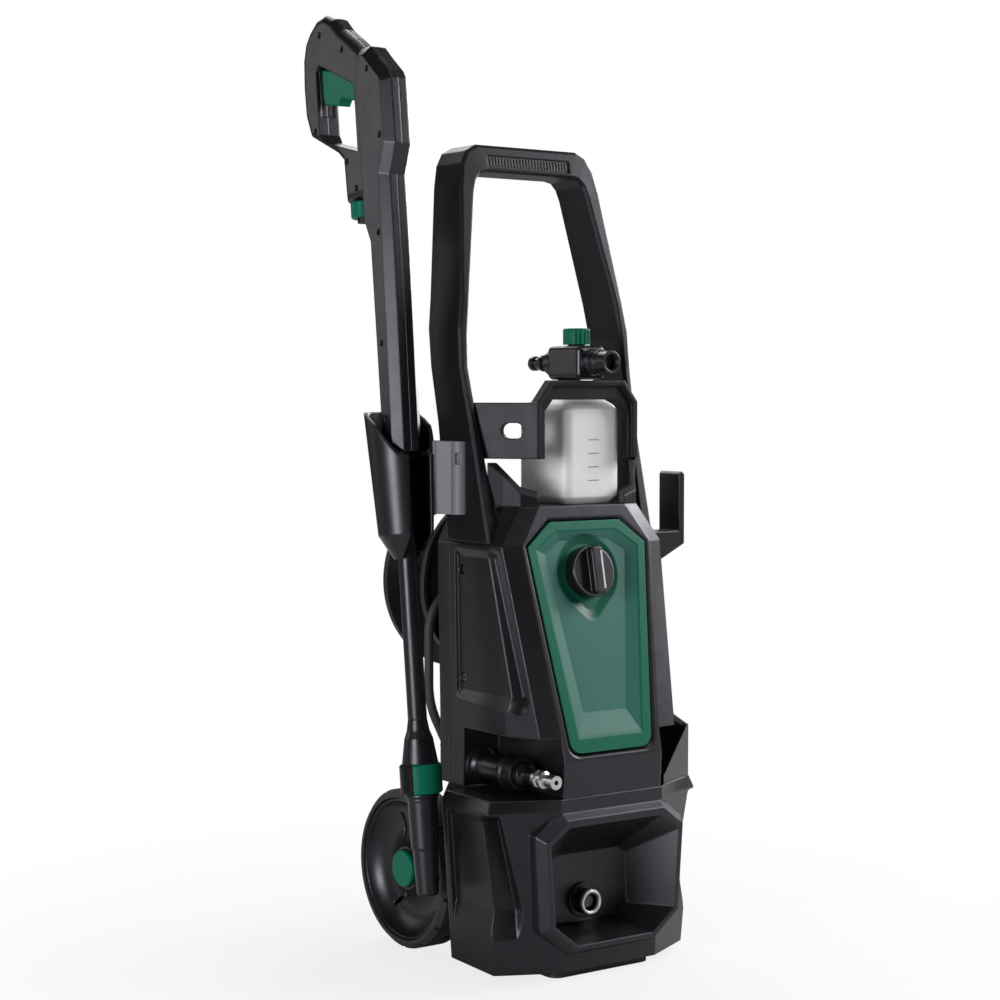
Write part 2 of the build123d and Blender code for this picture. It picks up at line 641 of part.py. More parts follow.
def lance_holder():
    inner = holder_profile(-HOLDER_T)
    cup = turned(holder_profile(0) + [(r, s) for r, s in reversed(inner)])
    ledge = tube(HOLDER_TOP_R - HOLDER_T, LANCE_R + 2, BARREL_LOW - 6, BARREL_LOW - SEAT)
    cup += ledge & turned(holder_profile(0) + [(0, HOLDER_TOP), (0, HOLDER_LOW)])
    cup -= block(*HOLDER_SLOT, -BIG, 0, HOLDER_LOW, HOLDER_TOP)
    cup -= gun_slab(HOLDER_SCOOP + [(60, BIG), (-60, BIG)], -BIG, BIG)
    return GUN * cup


def holder_arm():
    low, high = 474, 550
    front, back = -13, 44
    leg = HANDLE_OUTER[0][0]
    arm = along_z([(-leg - 4, front), (-leg - 18, front + 24), (-leg - 32, front + 34), (-leg - 32, back),
                   (-leg + 7, back), (-leg + 7, front)], low, high)
    arm += Pos(-leg - 2, front + 6, (low + high) / 2) * Cylinder(9, high - low)
    arm -= GUN * turned(holder_profile(SEAT) + [(0, HOLDER_TOP), (0, HOLDER_LOW)])
    arm -= block(-leg - 12, -leg - 6, front - 12, front + 4, 526, 538)
    return arm - HANDLE & block(-BIG, -leg + 7, -BIG, BIG, 0, BIG)


def trigger_pivot(r):
    y, s = TRIGGER_PIVOT
    pin = Plane(origin=(0, y, s), x_dir=(0, 1, 0), z_dir=(1, 0, 0))
    return pin * rod(r, -GUN_HALF + 2, GUN_HALF - 2)


def gun_body():
    grip = gun_slab(GRIP, -GUN_HALF, GUN_HALF)
    grip = fillet(grip.edges().filter_by(Plane.YZ), GUN_EDGE)
    barrel = gun_slab(BARREL, -BARREL_HALF, BARREL_HALF)
    barrel = chamfer(barrel.edges().filter_by(Plane.YZ), BARREL_EDGE)
    blank = grip + barrel
    blank -= gun_slab(GUN_WINDOW, -BARREL_HALF, BARREL_HALF)
    side = TRIGGER_HALF + SEAT
    blank -= gun_slab(TRIGGER_SLOT, -side, side)
    blank -= rod(LANCE_R + RUN, BARREL_LOW, VALVE_TOP)
    blank -= Pos(0, INLET_S, 0) * rod(INLET_R + RUN, GRIP_FOOT, INLET_TOP)
    return blank - trigger_pivot(TRIGGER_PIN_R)


GUN_BODY = gun_body()


def gun_screws(r, sink, length):
    """Cylinders at the gun's screws, from a depth below its left side."""
    spots = [(y, s, -GUN_HALF) for y, s in GRIP_SCREWS] + [(y, s, -BARREL_HALF) for y, s in BARREL_SCREWS]
    return [Plane(origin=(face, y, s), x_dir=(0, 1, 0), z_dir=(1, 0, 0)) * rod(r, sink, sink + length)
            for y, s, face in spots]


def gun_shell(left):
    x0, x1 = (-BIG, 0) if left else (0, BIG)
    half = GUN_BODY & block(x0, x1, -BIG, BIG, -BIG, 2 * BIG)
    if left:
        for hole in gun_screws(SCREW_R - 1 + RUN, 0, SCREW_SINK + 2.5):
            half -= hole
    return GUN * half


def trigger():
    outline = [(28, 565), (28, 538), (34, 533), (64, 543), (71, 536), (98, 543), (101, 550), (101, 582),
               (60, 572), (44, 568), (36, 569)]
    blade = gun_slab(outline, -TRIGGER_HALF, TRIGGER_HALF)
    blade = fillet(blade.edges().filter_by(Plane.YZ), 2)
    return GUN * (blade - trigger_pivot(TRIGGER_PIN_R + RUN))


def trigger_pin():
    return GUN * trigger_pivot(TRIGGER_PIN_R)


def nozzle_body():
    profile = [(0, LANCE_LOW), (LANCE_R, LANCE_LOW), (LANCE_R + 2, -134), (15, -142), (19, RING_HIGH + SEAT),
               (NOZZLE_CORE_R, RING_HIGH + SEAT), (NOZZLE_CORE_R, RING_LOW - SEAT), (18, RING_LOW - SEAT),
               (18, -202), (16, -203), (16, -206), (15.5, -207), (14.5, -255), (13.2, -257), (13, -262),
               (11.5, -302), (10, -304), (5, -304), (4, -296), (0, -296)]
    return GUN * turned(profile)


def nozzle_ring():
    ring = tube(RING_R, NOZZLE_CORE_R + RUN, RING_LOW, RING_HIGH)
    ring = chamfer(ring.edges().filter_by(GeomType.CIRCLE).sort_by(SortBy.RADIUS)[-2:], 2)
    ridge = Pos(RING_R, 0, (RING_LOW + RING_HIGH) / 2) * Box(2.4, 3, RING_HIGH - RING_LOW - 6)
    for turn in (116, 216):
        ring -= Rot(0, 0, turn) * ridge
    return GUN * ring


def hose_collar():
    high = GRIP_FOOT - SEAT
    ring = tube(COLLAR_R, INLET_R + RUN, high - COLLAR_L, high)
    ring = chamfer(ring.edges().filter_by(GeomType.CIRCLE).sort_by(SortBy.RADIUS)[-2:], 1.5)
    return GUN * (Pos(0, INLET_S, 0) * ring)


def gun_inlet():
    low = GRIP_FOOT - COLLAR_L - COLLAR_TRAVEL - 1
    return GUN * (Pos(0, INLET_S, 0) * (rod(INLET_R, low, INLET_TOP) - rod(3, low, INLET_TOP - 8)))


def wheel_place(side):
    return Plane(origin=(side * WHEEL_FACE, AXLE_Y, WHEEL_R), x_dir=(0, 1, 0), z_dir=(side, 0, 0))


CLIP_T = 3.0
CAP_T = 5.0
HUB_END = -CAP_SINK - 5    # outer end of the hub, inside the wheel's face


def wheel_rim(side):
    rim_r = WHEEL_R - TYRE_T - SEAT / 2
    lip, hub = (rim_r - 3, -2), (CAP_R + 3, -CAP_SINK)
    outline = Polyline(hub, (CAP_R + RUN, -CAP_SINK), (CAP_R + RUN, HUB_END), (AXLE_R + RUN, HUB_END),
                       (AXLE_R + RUN, -WHEEL_W), (HUB_R, -WHEEL_W), (HUB_R + 3, -26), (48, -26),
                       (rim_r - 8, -WHEEL_W + 4), (rim_r, -WHEEL_W + 4), (rim_r, -3), lip)
    trough = ThreePointArc(lip, ((lip[0] + hub[0]) / 2, -TROUGH_D), hub)
    rim = revolve(Plane.XZ * make_face(outline + trough), Axis.Z)
    slot = extrude(Pos(0, 0, -WHEEL_W) * (Rot(0, 0, -15) * SlotOverall(34, 5)), amount=WHEEL_W)
    for turn in range(3):
        rim -= Rot(0, 0, 120 * turn + 56) * (Pos(45, 0, 0) * slot)
    return wheel_place(side) * rim


def tyre(side):
    r_in = WHEEL_R - TYRE_T
    ring = turned([(r_in, -WHEEL_W), (WHEEL_R - 5, -WHEEL_W), (WHEEL_R, -WHEEL_W + 5), (WHEEL_R, -5),
                   (WHEEL_R - 5, 0), (r_in, 0)])
    groove = Pos(WHEEL_R, 0, 0) * Box(2 * TREAD_D, 5, WHEEL_W / 2)
    for turn in range(TREAD_COUNT):
        row = -WHEEL_W / 4 if turn % 2 else -WHEEL_W * 3 / 4
        ring -= Rot(0, 0, 360 / TREAD_COUNT * turn) * (Pos(0, 0, row) * groove)
    return wheel_place(side) * ring


def hub_cap(side):
    cap = rod(CAP_R, 0.5 - CAP_SINK, CAP_T + 0.5 - CAP_SINK)
    cap = fillet(cap.edges().group_by(Axis.Z)[-1], 2)
    return wheel_place(side) * cap


def axle_clip(side):
    return wheel_place(side) * tube(AXLE_R + 4, AXLE_R, HUB_END + SEAT, HUB_END + SEAT + CLIP_T)


def axle():
    end = WHEEL_FACE + HUB_END + SEAT + CLIP_T
    return AXLE_LINE * rod(AXLE_R, -end, end)


REEL = Plane(origin=(0, 0, REEL_Z), x_dir=(1, 0, 0), z_dir=(0, 1, 0))


def reel_bracket():
    plate = along_z([(-48, REAR_Y), (48, REAR_Y), (40, REAR_Y + 6), (-40, REAR_Y + 6)], REEL_Z - 55,
                    REEL_Z + 55)
    spindle = rod(SPINDLE_R, REAR_Y + 6, REEL_BACK - FLANGE_T - SEAT) + rod(20, REAR_Y + 6, REAR_Y + 8)
    return plate + REEL * spindle


def feed_swivel():
    low, high = REAR_Y + 8 + SEAT, REEL_FRONT - SEAT
    mid = (low + high) / 2
    ring = REEL * tube(SPINDLE_R + 8, SPINDLE_R + RUN, low, high)
    sideways = Plane(origin=(0, mid, REEL_Z), x_dir=(0, 1, 0), z_dir=(-1, 0, 0))
    return ring + sideways * rod(HOSE_R + 2, SPINDLE_R + 4, FEED_START)


FEED_START = 34.0
FEED_Y = (REAR_Y + 8 + REEL_FRONT) / 2
FEED_ROUTE = [(-FEED_START, REEL_Z), (-100, REEL_Z), (-100, 266), (-78, 222)]
FEED_RADII = [50, 90]


def feed_hose():
    points = [(x, FEED_Y, z) for x, z in FEED_ROUTE]
    path = FilletPolyline(*points, radius=FEED_RADII)
    start = Plane(origin=points[0], x_dir=(0, 1, 0), z_dir=(-1, 0, 0))
    hose = sweep(start * Circle(HOSE_R), path=path)
    print("feed hose: length %.1f, volume ratio %.4f, radii %s"
          % (path.length, hose.volume / (Circle(HOSE_R).area * path.length), FEED_RADII))
    return hose


def feed_elbow():
    (x1, z1), (x0, z0) = FEED_ROUTE[-2], FEED_ROUTE[-1]
    end = Plane(origin=(x0, FEED_Y, z0), x_dir=(0, 1, 0), z_dir=(x0 - x1, 0, z0 - z1))
    knee = end * rod(HOSE_R + 2, 0, 14)
    at = end.origin + end.z_dir * 14
    foot = Plane(origin=(at.X, REAR_Y, at.Z), x_dir=(1, 0, 0), z_dir=(0, 1, 0))
    return knee + Pos(*at) * Sphere(HOSE_R + 3) + foot * (rod(HOSE_R + 2, 0, FEED_Y - REAR_Y) + rod(12, 0, 4))


def reel_flange(low, outward):
    disc = tube(REEL_R, SPINDLE_R + 6, low, low + FLANGE_T)
    lip = tube(REEL_R, REEL_R - 5, low - (3 if outward < 0 else 0),
               low + FLANGE_T + (3 if outward > 0 else 0))
    disc += lip
    window = extrude(Pos(0, 0, low) * SlotOverall(34, 16), amount=FLANGE_T)
    for turn in range(6):
        disc -= Rot(0, 0, 60 * turn) * (Pos(72, 0, 0) * (Rot(0, 0, 90) * window))
    return REEL * disc


def reel_drum():
    low, high = REEL_FRONT + FLANGE_T, REEL_BACK - FLANGE_T
    core = tube(CORE_R, CORE_R - WALL, low, high)
    hub = tube(SPINDLE_R + 5, SPINDLE_R + RUN, REEL_FRONT, high)
    webs = tube(CORE_R - WALL, SPINDLE_R + 5, low, low + WALL)
    webs += tube(CORE_R - WALL, SPINDLE_R + RUN, high - WALL, high)
    end = rod(SPINDLE_R + 5, high, REEL_BACK)
    return REEL * (core + hub + webs + end)


def crank_arm():
    low = REEL_BACK
    bar = extrude(Pos(CRANK_R / 2, 0, low) * SlotOverall(CRANK_R + 30, 28), amount=8)
    end = low + 12 + CRANK_GRIP_L
    pin = Pos(CRANK_R, 0, 0) * (rod(5, low, end) + rod(8, end - 3, end))
    return REEL * (Rot(0, 0, 90) * (bar + pin))


def crank_grip():
    low = REEL_BACK + 8 + SEAT
    grip = turned([(5 + RUN, low), (10, low), (12.5, low + 14), (11, low + 34), (12, low + CRANK_GRIP_L - 4),
                   (9, low + CRANK_GRIP_L), (5 + RUN, low + CRANK_GRIP_L)])
    return REEL * (Rot(0, 0, 90) * (Pos(CRANK_R, 0, 0) * grip))


def foam_bottle(inset):
    def ring(shrink, z):
        outline = RectangleRounded(BOTTLE_W - 2 * (inset + shrink), BOTTLE_D - 2 * (inset + shrink),
                                   BOTTLE_EDGE - inset)
        return Pos(BOTTLE_X, BOTTLE_Y, z) * outline

    low = DECK_Z + SEAT + inset
    top = DECK_Z + SEAT + BOTTLE_H - inset
    tank = loft([ring(5, low), ring(0, low + 7)], ruled=True)
    tank += extrude(ring(0, low + 7), amount=top - low - 7 - BOTTLE_SHOULDER)
    tank += loft([ring(0, top - BOTTLE_SHOULDER), ring(4, top - BOTTLE_SHOULDER * 0.5),
                  ring(BOTTLE_SHOULDER, top)], ruled=True)
    return tank + Pos(BOTTLE_X, BOTTLE_Y, 0) * rod(NECK_R - inset, top - 2, BOTTLE_NECK_TOP)


BOTTLE_NECK_TOP = DECK_Z + SEAT + BOTTLE_H + 12
FOAM_Y = Plane(origin=(BOTTLE_X, 0, FOAM_AXIS), x_dir=(1, 0, 0), z_dir=(0, 1, 0))


def foam_head():
    low = BOTTLE_NECK_TOP - 11
    cap = tube(NECK_R + 7, NECK_R + RUN, low, BOTTLE_NECK_TOP)
    cap += rod(NECK_R + 7, BOTTLE_NECK_TOP, BOTTLE_NECK_TOP + 4)
    post = rod(12, BOTTLE_NECK_TOP, FOAM_AXIS)
    head = Pos(BOTTLE_X, BOTTLE_Y, 0) * (cap + post)
    body = block(-FOAM_HALF, FOAM_HALF, -FOAM_HALF, FOAM_HALF, FOAM_FRONT + 10, FOAM_BACK - 12)
    body = fillet(body.edges(), 6)
    body += rod(FOAM_R, FOAM_FRONT, FOAM_BACK)
    head += FOAM_Y * (body + rod(SPRAY_R - 3, FOAM_FRONT - SPRAY_L + 6, FOAM_FRONT))
    top = FOAM_AXIS + FOAM_HALF
    head += Pos(BOTTLE_X, FOAM_KNOB_Y, 0) * (rod(9, FOAM_AXIS, top + 1) + rod(4, FOAM_AXIS, top + 12))
    return head


def foam_stem():
    r, b = STEM_R, FOAM_BACK
    return FOAM_Y * turned([(0, b), (r + 3, b), (r + 3, b + 5), (r, b + 7), (r, b + 12), (r + 3, b + 13),
                            (r + 3, b + 17), (r, b + 18), (r, b + 27), (r + 2, b + 30), (r + 2, b + 35),
                            (r - 2, b + STEM_L), (0, b + STEM_L)])


def foam_nozzle():
    r, f = SPRAY_R, FOAM_FRONT - SEAT
    tip = f - SPRAY_L
    return FOAM_Y * turned([(r - 3 + RUN, f), (r + 1, f), (r + 1, f - 6), (r, f - 8), (r, tip), (r - 3, tip),
                            (r - 5, tip + 5), (r - 3 + RUN, tip + 5)])


def foam_knob():
    low = FOAM_AXIS + FOAM_HALF + 1 + SEAT
    knob = rod(FOAM_KNOB_R, low, low + 17)
    knob = fillet(knob.edges().group_by(Axis.Z)[-1], 2)
    rib = Pos(FOAM_KNOB_R, 0, low + 8) * Box(1.6, 2.2, 14)
    for turn in range(20):
        knob -= Rot(0, 0, 18 * turn) * rib
    knob -= rod(4 + RUN, low, low + 11.5)
    return Pos(BOTTLE_X, FOAM_KNOB_Y, 0) * knob


def suction_tube():
    return Pos(BOTTLE_X, BOTTLE_Y, 0) * tube(4, 2.5, DECK_Z + SEAT + 12, BOTTLE_NECK_TOP)


FORWARD = Plane(origin=(OUTLET_X, 0, OUTLET_Z), x_dir=(1, 0, 0), z_dir=(0, -1, 0))


def outlet_body():
    wall, collar = -ALCOVE_BACK, -OUTLET_COLLAR_Y
    return FORWARD * turned([(0, wall), (20, wall), (20, wall + 4), (OUTLET_R + 3, wall + 6),
                             (OUTLET_R, wall + 10), (OUTLET_R, collar + 22), (8, collar + 25),
                             (8, collar + 40), (0, collar + 40)])


def outlet_collar():
    bore, r, c = OUTLET_R + RUN, OUTLET_COLLAR_R, -OUTLET_COLLAR_Y
    return FORWARD * turned([(bore, c - 8), (r - 2, c - 8), (r, c - 6), (r, c - 2), (r - 2, c),
                             (r - 2, c + 3), (r - 1, c + 4), (r - 2, c + 16), (bore, c + 16)])


def outlet_nipple():
    t, c = -OUTLET_TIP_Y, -OUTLET_COLLAR_Y + 40
    return FORWARD * turned([(2.5, c), (9, c), (9, c + 5), (7.5, c + 6), (7.5, c + 9), (9, c + 10),
                             (9, c + 14), (6, c + 16), (6, t - 8), (7, t - 7), (7, t), (2.5, t)])


WATER = Plane(origin=(WATER_X, 0, WATER_Z), x_dir=(1, 0, 0), z_dir=(0, -1, 0))
PUMP_FRONT = -66.0


def water_inlet():
    face, tip = -HOLLOW_Y, -WATER_TIP_Y
    body = turned([(WATER_BORE, face), (18, face), (18, face + 3), (WATER_R, face + 3), (WATER_R, tip),
                   (WATER_BORE, tip)])
    tail = tube(WATER_R - WALL - RUN, WATER_R - 2 * WALL, -PUMP_FRONT, face)
    tail += tube(WATER_BORE + 1, 6, face, face + 2)
    return WATER * (body + tail)


def inlet_ring():
    r, bore, tip = WATER_R - 0.2, WATER_BORE, -WATER_TIP_Y
    return WATER * turned([(bore, tip), (r, tip), (r, tip + 3), (r - 1, tip + 4), (bore + 1, tip + 4),
                           (bore, tip + 3)])


def inlet_filter():
    face, tip = -HOLLOW_Y, -WATER_TIP_Y
    sieve = tube(6.5, 5, face + 4, tip - 3) + rod(6.5, tip - 4, tip - 3)
    return WATER * (tube(WATER_BORE - SEAT, 5, face + 2, face + 4) + sieve)


MOTOR = Pos(0, MOTOR_Y, 0)


def motor_housing():
    shell = tube(MOTOR_R, MOTOR_R - MOTOR_T, MOTOR_LOW, MOTOR_HIGH)
    plates = tube(MOTOR_R - MOTOR_T, BEARING_R, MOTOR_LOW, MOTOR_LOW + BEARING_T)
    plates += tube(MOTOR_R - MOTOR_T, BEARING_R, MOTOR_HIGH - BEARING_T, MOTOR_HIGH)
    return MOTOR * (shell + plates)


def bearings():
    low = tube(BEARING_R, SHAFT_R + RUN, MOTOR_LOW, MOTOR_LOW + BEARING_T)
    high = tube(BEARING_R, SHAFT_R + RUN, MOTOR_HIGH - BEARING_T, MOTOR_HIGH)
    return Compound([MOTOR * low, MOTOR * high])


STATOR_LOW = MOTOR_LOW + 28
STATOR_HIGH = MOTOR_HIGH - 48


def stator():
    return MOTOR * tube(MOTOR_R - MOTOR_T, ARMATURE_R + 1, STATOR_LOW, STATOR_HIGH)


def armature():
    return MOTOR * tube(ARMATURE_R, SHAFT_R, STATOR_LOW - 4, STATOR_HIGH + 4)


def fan():
    low = MOTOR_HIGH - BEARING_T - 24
    blades = tube(14, SHAFT_R, low, low + 16)
    blade = block(12, MOTOR_R - MOTOR_T - 6, -1, 1, low, low + 14)
    blades += tube(MOTOR_R - MOTOR_T - 6, SHAFT_R, low, low + 2)
    for turn in range(9):
        blades += Rot(0, 0, 40 * turn) * blade
    return MOTOR * blades


def rotor_shaft():
    return MOTOR * rod(SHAFT_R, SWASH_Z - 14, MOTOR_HIGH + 4)


def wobble_plate():
    disc = Pos(0, 0, SWASH_Z) * (Rot(SWASH_TILT, 0, 0) * Cylinder(32, 8))
    hub = rod(10, SWASH_Z - 10, MOTOR_LOW - 1)
    return MOTOR * (disc + hub - rod(SHAFT_R, SWASH_Z - 20, MOTOR_LOW))


def piston_spots():
    return [Rot(0, 0, 120 * turn) * Pos(PISTON_PCR, 0, 0) for turn in range(3)]


PISTON_TOP = SWASH_Z - 4 - 32 * sin(radians(SWASH_TILT)) - 1


def pump_body():
    case = rod(PUMP_R, PUMP_LOW, MOTOR_LOW) - rod(36, CHAMBER_Z, MOTOR_LOW)
    for spot in piston_spots():
        case -= spot * rod(PISTON_R + RUN, PUMP_LOW, CHAMBER_Z)
    return MOTOR * case


def pistons():
    head = rod(PISTON_R + 3, PISTON_TOP - 2.5, PISTON_TOP)
    return [MOTOR * (spot * (rod(PISTON_R, PUMP_LOW + 2, PISTON_TOP - 2.5) + head))
            for spot in piston_spots()]


def piston_springs():
    coil = tube(PISTON_R + 2.5, PISTON_R + SEAT, CHAMBER_Z, PISTON_TOP - 2.5)
    return [MOTOR * (spot * coil) for spot in piston_spots()]


def pump_head():
    head = block(-42, 42, PUMP_FRONT, 10, FOOT_T + 4 + WALL, PUMP_LOW)
    head = chamfer(head.edges().filter_by(Axis.Z), 8)
    head -= WATER * rod(WATER_R - 2 * WALL, 40, -PUMP_FRONT)
    return head


OUT_START = (-28, 10, 46)
OUT_ROUTE = [OUT_START, (-28, 32, 46), (-28, 32, OUTLET_Z), (OUTLET_X, 32, OUTLET_Z),
             (OUTLET_X, ALCOVE_BACK, OUTLET_Z)]
OUT_BEND = 14.0


def outlet_pipe():
    path = FilletPolyline(*OUT_ROUTE, radius=OUT_BEND)
    start = Plane(origin=OUT_START, x_dir=(1, 0, 0), z_dir=(0, 1, 0))
    return sweep(start * Circle(PIPE_R), path=path)


def capacitor():
    r = 17.0
    return Pos(62, REAR_Y - WALL - r - 0.1, 0) * fillet(rod(r, 300, 362).edges(), 2)


def cord_gland():
    place = Plane(origin=(46, REAR_Y, 218), x_dir=(1, 0, 0), z_dir=(0, 1, 0))
    return place * turned([(4, 0), (14, 0), (14, 4), (10, 5), (8, 12), (7, 30), (4, 30)])


def cord_hook():
    side = along_y([(90, HOOK_LOW), (HOOK_OUT, HOOK_ARM - 14), (HOOK_OUT, HOOK_TOP),
                    (HOOK_OUT - HOOK_T, HOOK_TOP), (HOOK_OUT - HOOK_T, HOOK_ARM), (90, HOOK_ARM)], HOOK_Y0,
                   HOOK_Y1)
    side = chamfer(side.edges().filter_by(Axis.Y).sort_by(Axis.Z)[-2:], 3)
    return side - UPPER - HANDLE


def body_screws():
    heads = [place * rod(SCREW_R, 0, 2) for side in (-1, 1) for place in side_screw_places(side)]
    rear = [Plane(origin=(x, REAR_Y, z), x_dir=(1, 0, 0), z_dir=(0, 1, 0)) * rod(SCREW_R, 0, 2)
            for x in (-66, 66) for z in (270, 350, 430)]
    return Compound(heads + rear)


nodes = {"front_shell": front_shell(), "rear_shell": rear_shell(), "base_shell": base_shell(),
         "foot_pad": foot_pad(), "control_panel": control_panel(), "switch_knob": switch_knob(),
         "switch_box": switch_box(), "handle": HANDLE, "grip_insert": grip_pocket(0.15),
         "bottle_bracket": bottle_bracket(), "lance_holder": lance_holder(), "holder_arm": holder_arm(),
         "cord_hook": cord_hook(), "gun_shell_left": gun_shell(True), "gun_shell_right": gun_shell(False),
         "gun_screws": Compound([GUN * screw for screw in gun_screws(SCREW_R - 1, SCREW_SINK, 2.4)]
                                + [trigger_pin()]), "gun_valve": Compound([GUN * rod(LANCE_R - RUN,
                                                                                     LANCE_HIGH,
                                                                                     VALVE_TOP - 1),
                                                                           gun_inlet()]),
         "hose_collar": hose_collar(), "trigger": trigger(),
         "lance_tube": GUN * (rod(LANCE_R, LANCE_LOW, LANCE_HIGH) - rod(LANCE_R - 6, LANCE_LOW, LANCE_HIGH)),
         "nozzle_body": nozzle_body(), "nozzle_ring": nozzle_ring(),
         "axle": Compound([axle(), axle_clip(-1), axle_clip(1)]), "reel_bracket": reel_bracket(),
         "feed_fittings": Compound([feed_swivel(), feed_elbow()]), "feed_hose": feed_hose(),
         "reel_flanges": Compound([reel_flange(REEL_FRONT, -1), reel_flange(REEL_BACK - FLANGE_T, 1)]),
         "reel_drum": reel_drum(), "crank_arm": crank_arm(), "crank_grip": crank_grip(),
         "foam_bottle": foam_bottle(0) - foam_bottle(BOTTLE_WALL), "foam_head": foam_head(),
         "foam_stem": foam_stem(), "foam_nozzle": foam_nozzle(), "foam_knob": foam_knob(),
         "suction_tube": suction_tube(), "outlet_body": outlet_body(), "outlet_collar": outlet_collar(),
         "outlet_nipple": outlet_nipple(), "outlet_pipe": outlet_pipe(), "water_inlet": water_inlet(),
         "inlet_ring": inlet_ring(), "inlet_filter": inlet_filter(), "motor_housing": motor_housing(),
         "motor_bearings": bearings(), "stator": stator(), "rotor": rotor_shaft() + armature() + fan()
         + wobble_plate(), "pump_body": pump_body(), "pistons": Compound(pistons() + piston_springs()),
         "pump_head": pump_head(), "capacitor": capacitor(), "cord_gland": cord_gland(),
         "body_screws": body_screws(),}
for side, name in ((-1, "left"), (1, "right")):
    nodes["wheel_rim_" + name] = wheel_rim(side)
    nodes["tyre_" + name] = tyre(side)
    nodes["hub_cap_" + name] = hub_cap(side)

os.makedirs("parts", exist_ok=True)
for name, shape in nodes.items():
    export_step(shape, "parts/" + name + ".step")
print(len(nodes), "nodes")
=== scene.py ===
import json
from math import cos, pi, radians, sin, tan

import bmesh
import bpy
from bpy.props import FloatProperty, FloatVectorProperty, IntProperty, PointerProperty
from mathutils import Euler, Matrix, Vector

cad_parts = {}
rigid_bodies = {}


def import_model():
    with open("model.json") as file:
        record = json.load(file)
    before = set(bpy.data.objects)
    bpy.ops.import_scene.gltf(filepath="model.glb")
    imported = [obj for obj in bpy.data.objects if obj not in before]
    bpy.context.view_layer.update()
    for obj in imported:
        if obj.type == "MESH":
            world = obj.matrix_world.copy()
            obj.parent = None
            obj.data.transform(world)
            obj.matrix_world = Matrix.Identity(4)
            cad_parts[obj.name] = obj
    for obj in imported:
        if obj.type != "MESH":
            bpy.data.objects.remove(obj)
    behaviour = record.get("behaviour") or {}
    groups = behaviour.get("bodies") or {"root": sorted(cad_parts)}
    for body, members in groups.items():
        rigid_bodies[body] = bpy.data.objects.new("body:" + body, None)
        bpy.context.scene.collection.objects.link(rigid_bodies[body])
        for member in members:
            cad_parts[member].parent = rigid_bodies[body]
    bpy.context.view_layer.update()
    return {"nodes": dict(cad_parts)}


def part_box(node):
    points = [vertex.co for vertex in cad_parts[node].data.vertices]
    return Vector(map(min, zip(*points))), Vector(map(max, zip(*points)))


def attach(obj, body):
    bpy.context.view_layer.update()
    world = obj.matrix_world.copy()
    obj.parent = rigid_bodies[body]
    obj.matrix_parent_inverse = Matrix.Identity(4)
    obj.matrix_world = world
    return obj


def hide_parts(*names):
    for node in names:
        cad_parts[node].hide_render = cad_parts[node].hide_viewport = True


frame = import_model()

bl_info = {
    "name": "Pressure washer dressing",
    "version": (1, 0, 0),
    "blender": (4, 5, 0),
    "location": "3D View > Sidebar > Washer",
    "description": "Finishes, trim and studio for an upright pressure washer",
    "category": "Object",
}

NODES = frame["nodes"]

# Front and panel, in metres

LEAN = radians(11.8)                # the front's slope
DECK_FRONT = -0.0716                # y of the front's top edge
DECK_Z = 0.483                      # and its height
PANEL_Z = 0.350                     # height of the panel's middle
DISH_EDGE = (-0.0003, -0.0012)      # depth below the panel's rim where the dish, painted paler as a painted sheen, begins and is reached
WELL_EDGE = (-0.0061, -0.0066)      # the same for the knob's well in the dish, painted darker as painted shade
KNOB_UP = 0.066                     # knob's centre above the panel's middle, along the slope
KNOB_TOP = 0.0153                   # top of the knob's bar above the panel's rim
# painted highlight on the switch knob: a white strip along its bar's right edge
KNOB_HIGHLIGHT_SIZE = (0.0022, 0.040, 0.0008)
KNOB_HIGHLIGHT_ASIDE = 0.0045              # to the right of the bar's middle, on its right edge where the painted highlight lies
KNOB_HIGHLIGHT_EDGE = 0.0003
KNOB_HIGHLIGHT_LIFT = 0.0001               # its middle above the bar
# painted highlight: a grey bead round the knob's edge
KNOB_RIM_R = 0.0254
KNOB_RIM_BEAD = 0.0005
KNOB_RIM_HIGH = 0.0058

# Gun and lance, in the gun's own frame: behind its axis and along it

GUN_LEAN = radians(6.2)             # the gun's slope in its holder
GUN_PLACE = (-0.153, 0.0232, 0.383)
GRIP_HALF = 0.013                   # half-thickness of the grip
BARREL_HALF = 0.018                 # and of the barrel
GRIP_SCREWS = [(0.093, 0.618), (0.049, 0.592), (0.113, 0.517), (0.052, 0.472), (0.036, 0.440)]
BARREL_SCREWS = [(-0.006, 0.558), (-0.023, 0.485), (-0.010, 0.385), (-0.003, 0.270), (-0.003, 0.190)]
SCREW_SINK = 0.002                  # screw heads below the gun's sides
RING_ALONG = -0.183                 # the nozzle ring's place on the axis
RING_MARK_SIDE = (-0.970, 0.242)    # its dark mark faces left and a little back
RING_MARK_REACH = 0.0140            # distance from the axis where the mark begins

# Driver sockets, and the screws of the body

SOCKET_DEPTH = 0.0006
SOCKET_SIDES = 6
SOCKET_LIFT = 0.0001                # middle of a socket above the head of a gun screw
SIDE_SCREW_X = 0.09905
SIDE_SCREW_Y = 0.002
SIDE_SCREW_HEIGHTS = (0.302, 0.416)
REAR_SCREW_X = 0.066
REAR_SCREW_Y = 0.05205
REAR_SCREW_HEIGHTS = (0.270, 0.350, 0.430)

# Graduations, ribs and thread

MARK_SIZE = (0.014, 0.0005, 0.0012)
MARK_X = 0.025
MARK_LOW = 0.508                    # height of the lowest graduation
MARK_STEP = 0.0142
MARK_SINK = 0.0001
RIB_SIZE = (0.0018, 0.0012, 0.0095)
RIB_MARGIN = 0.004                  # from the insert's end to the first rib
RIB_SINK = 0.0012
RIB_LEAN = radians(-11)
THREAD_PLACE = (-0.007, -0.0845, 0.070)
THREAD_R = 0.0129
THREAD_L = 0.0085
THREAD_BEAD = 0.0007

# Feed hose: route in x and z, radius of each bend

FEED_ROUTE = [(-0.034, 0.393), (-0.100, 0.393), (-0.100, 0.266), (-0.078, 0.222)]
FEED_RADII = [0.050, 0.090]
FEED_Y = 0.0685

# Studio

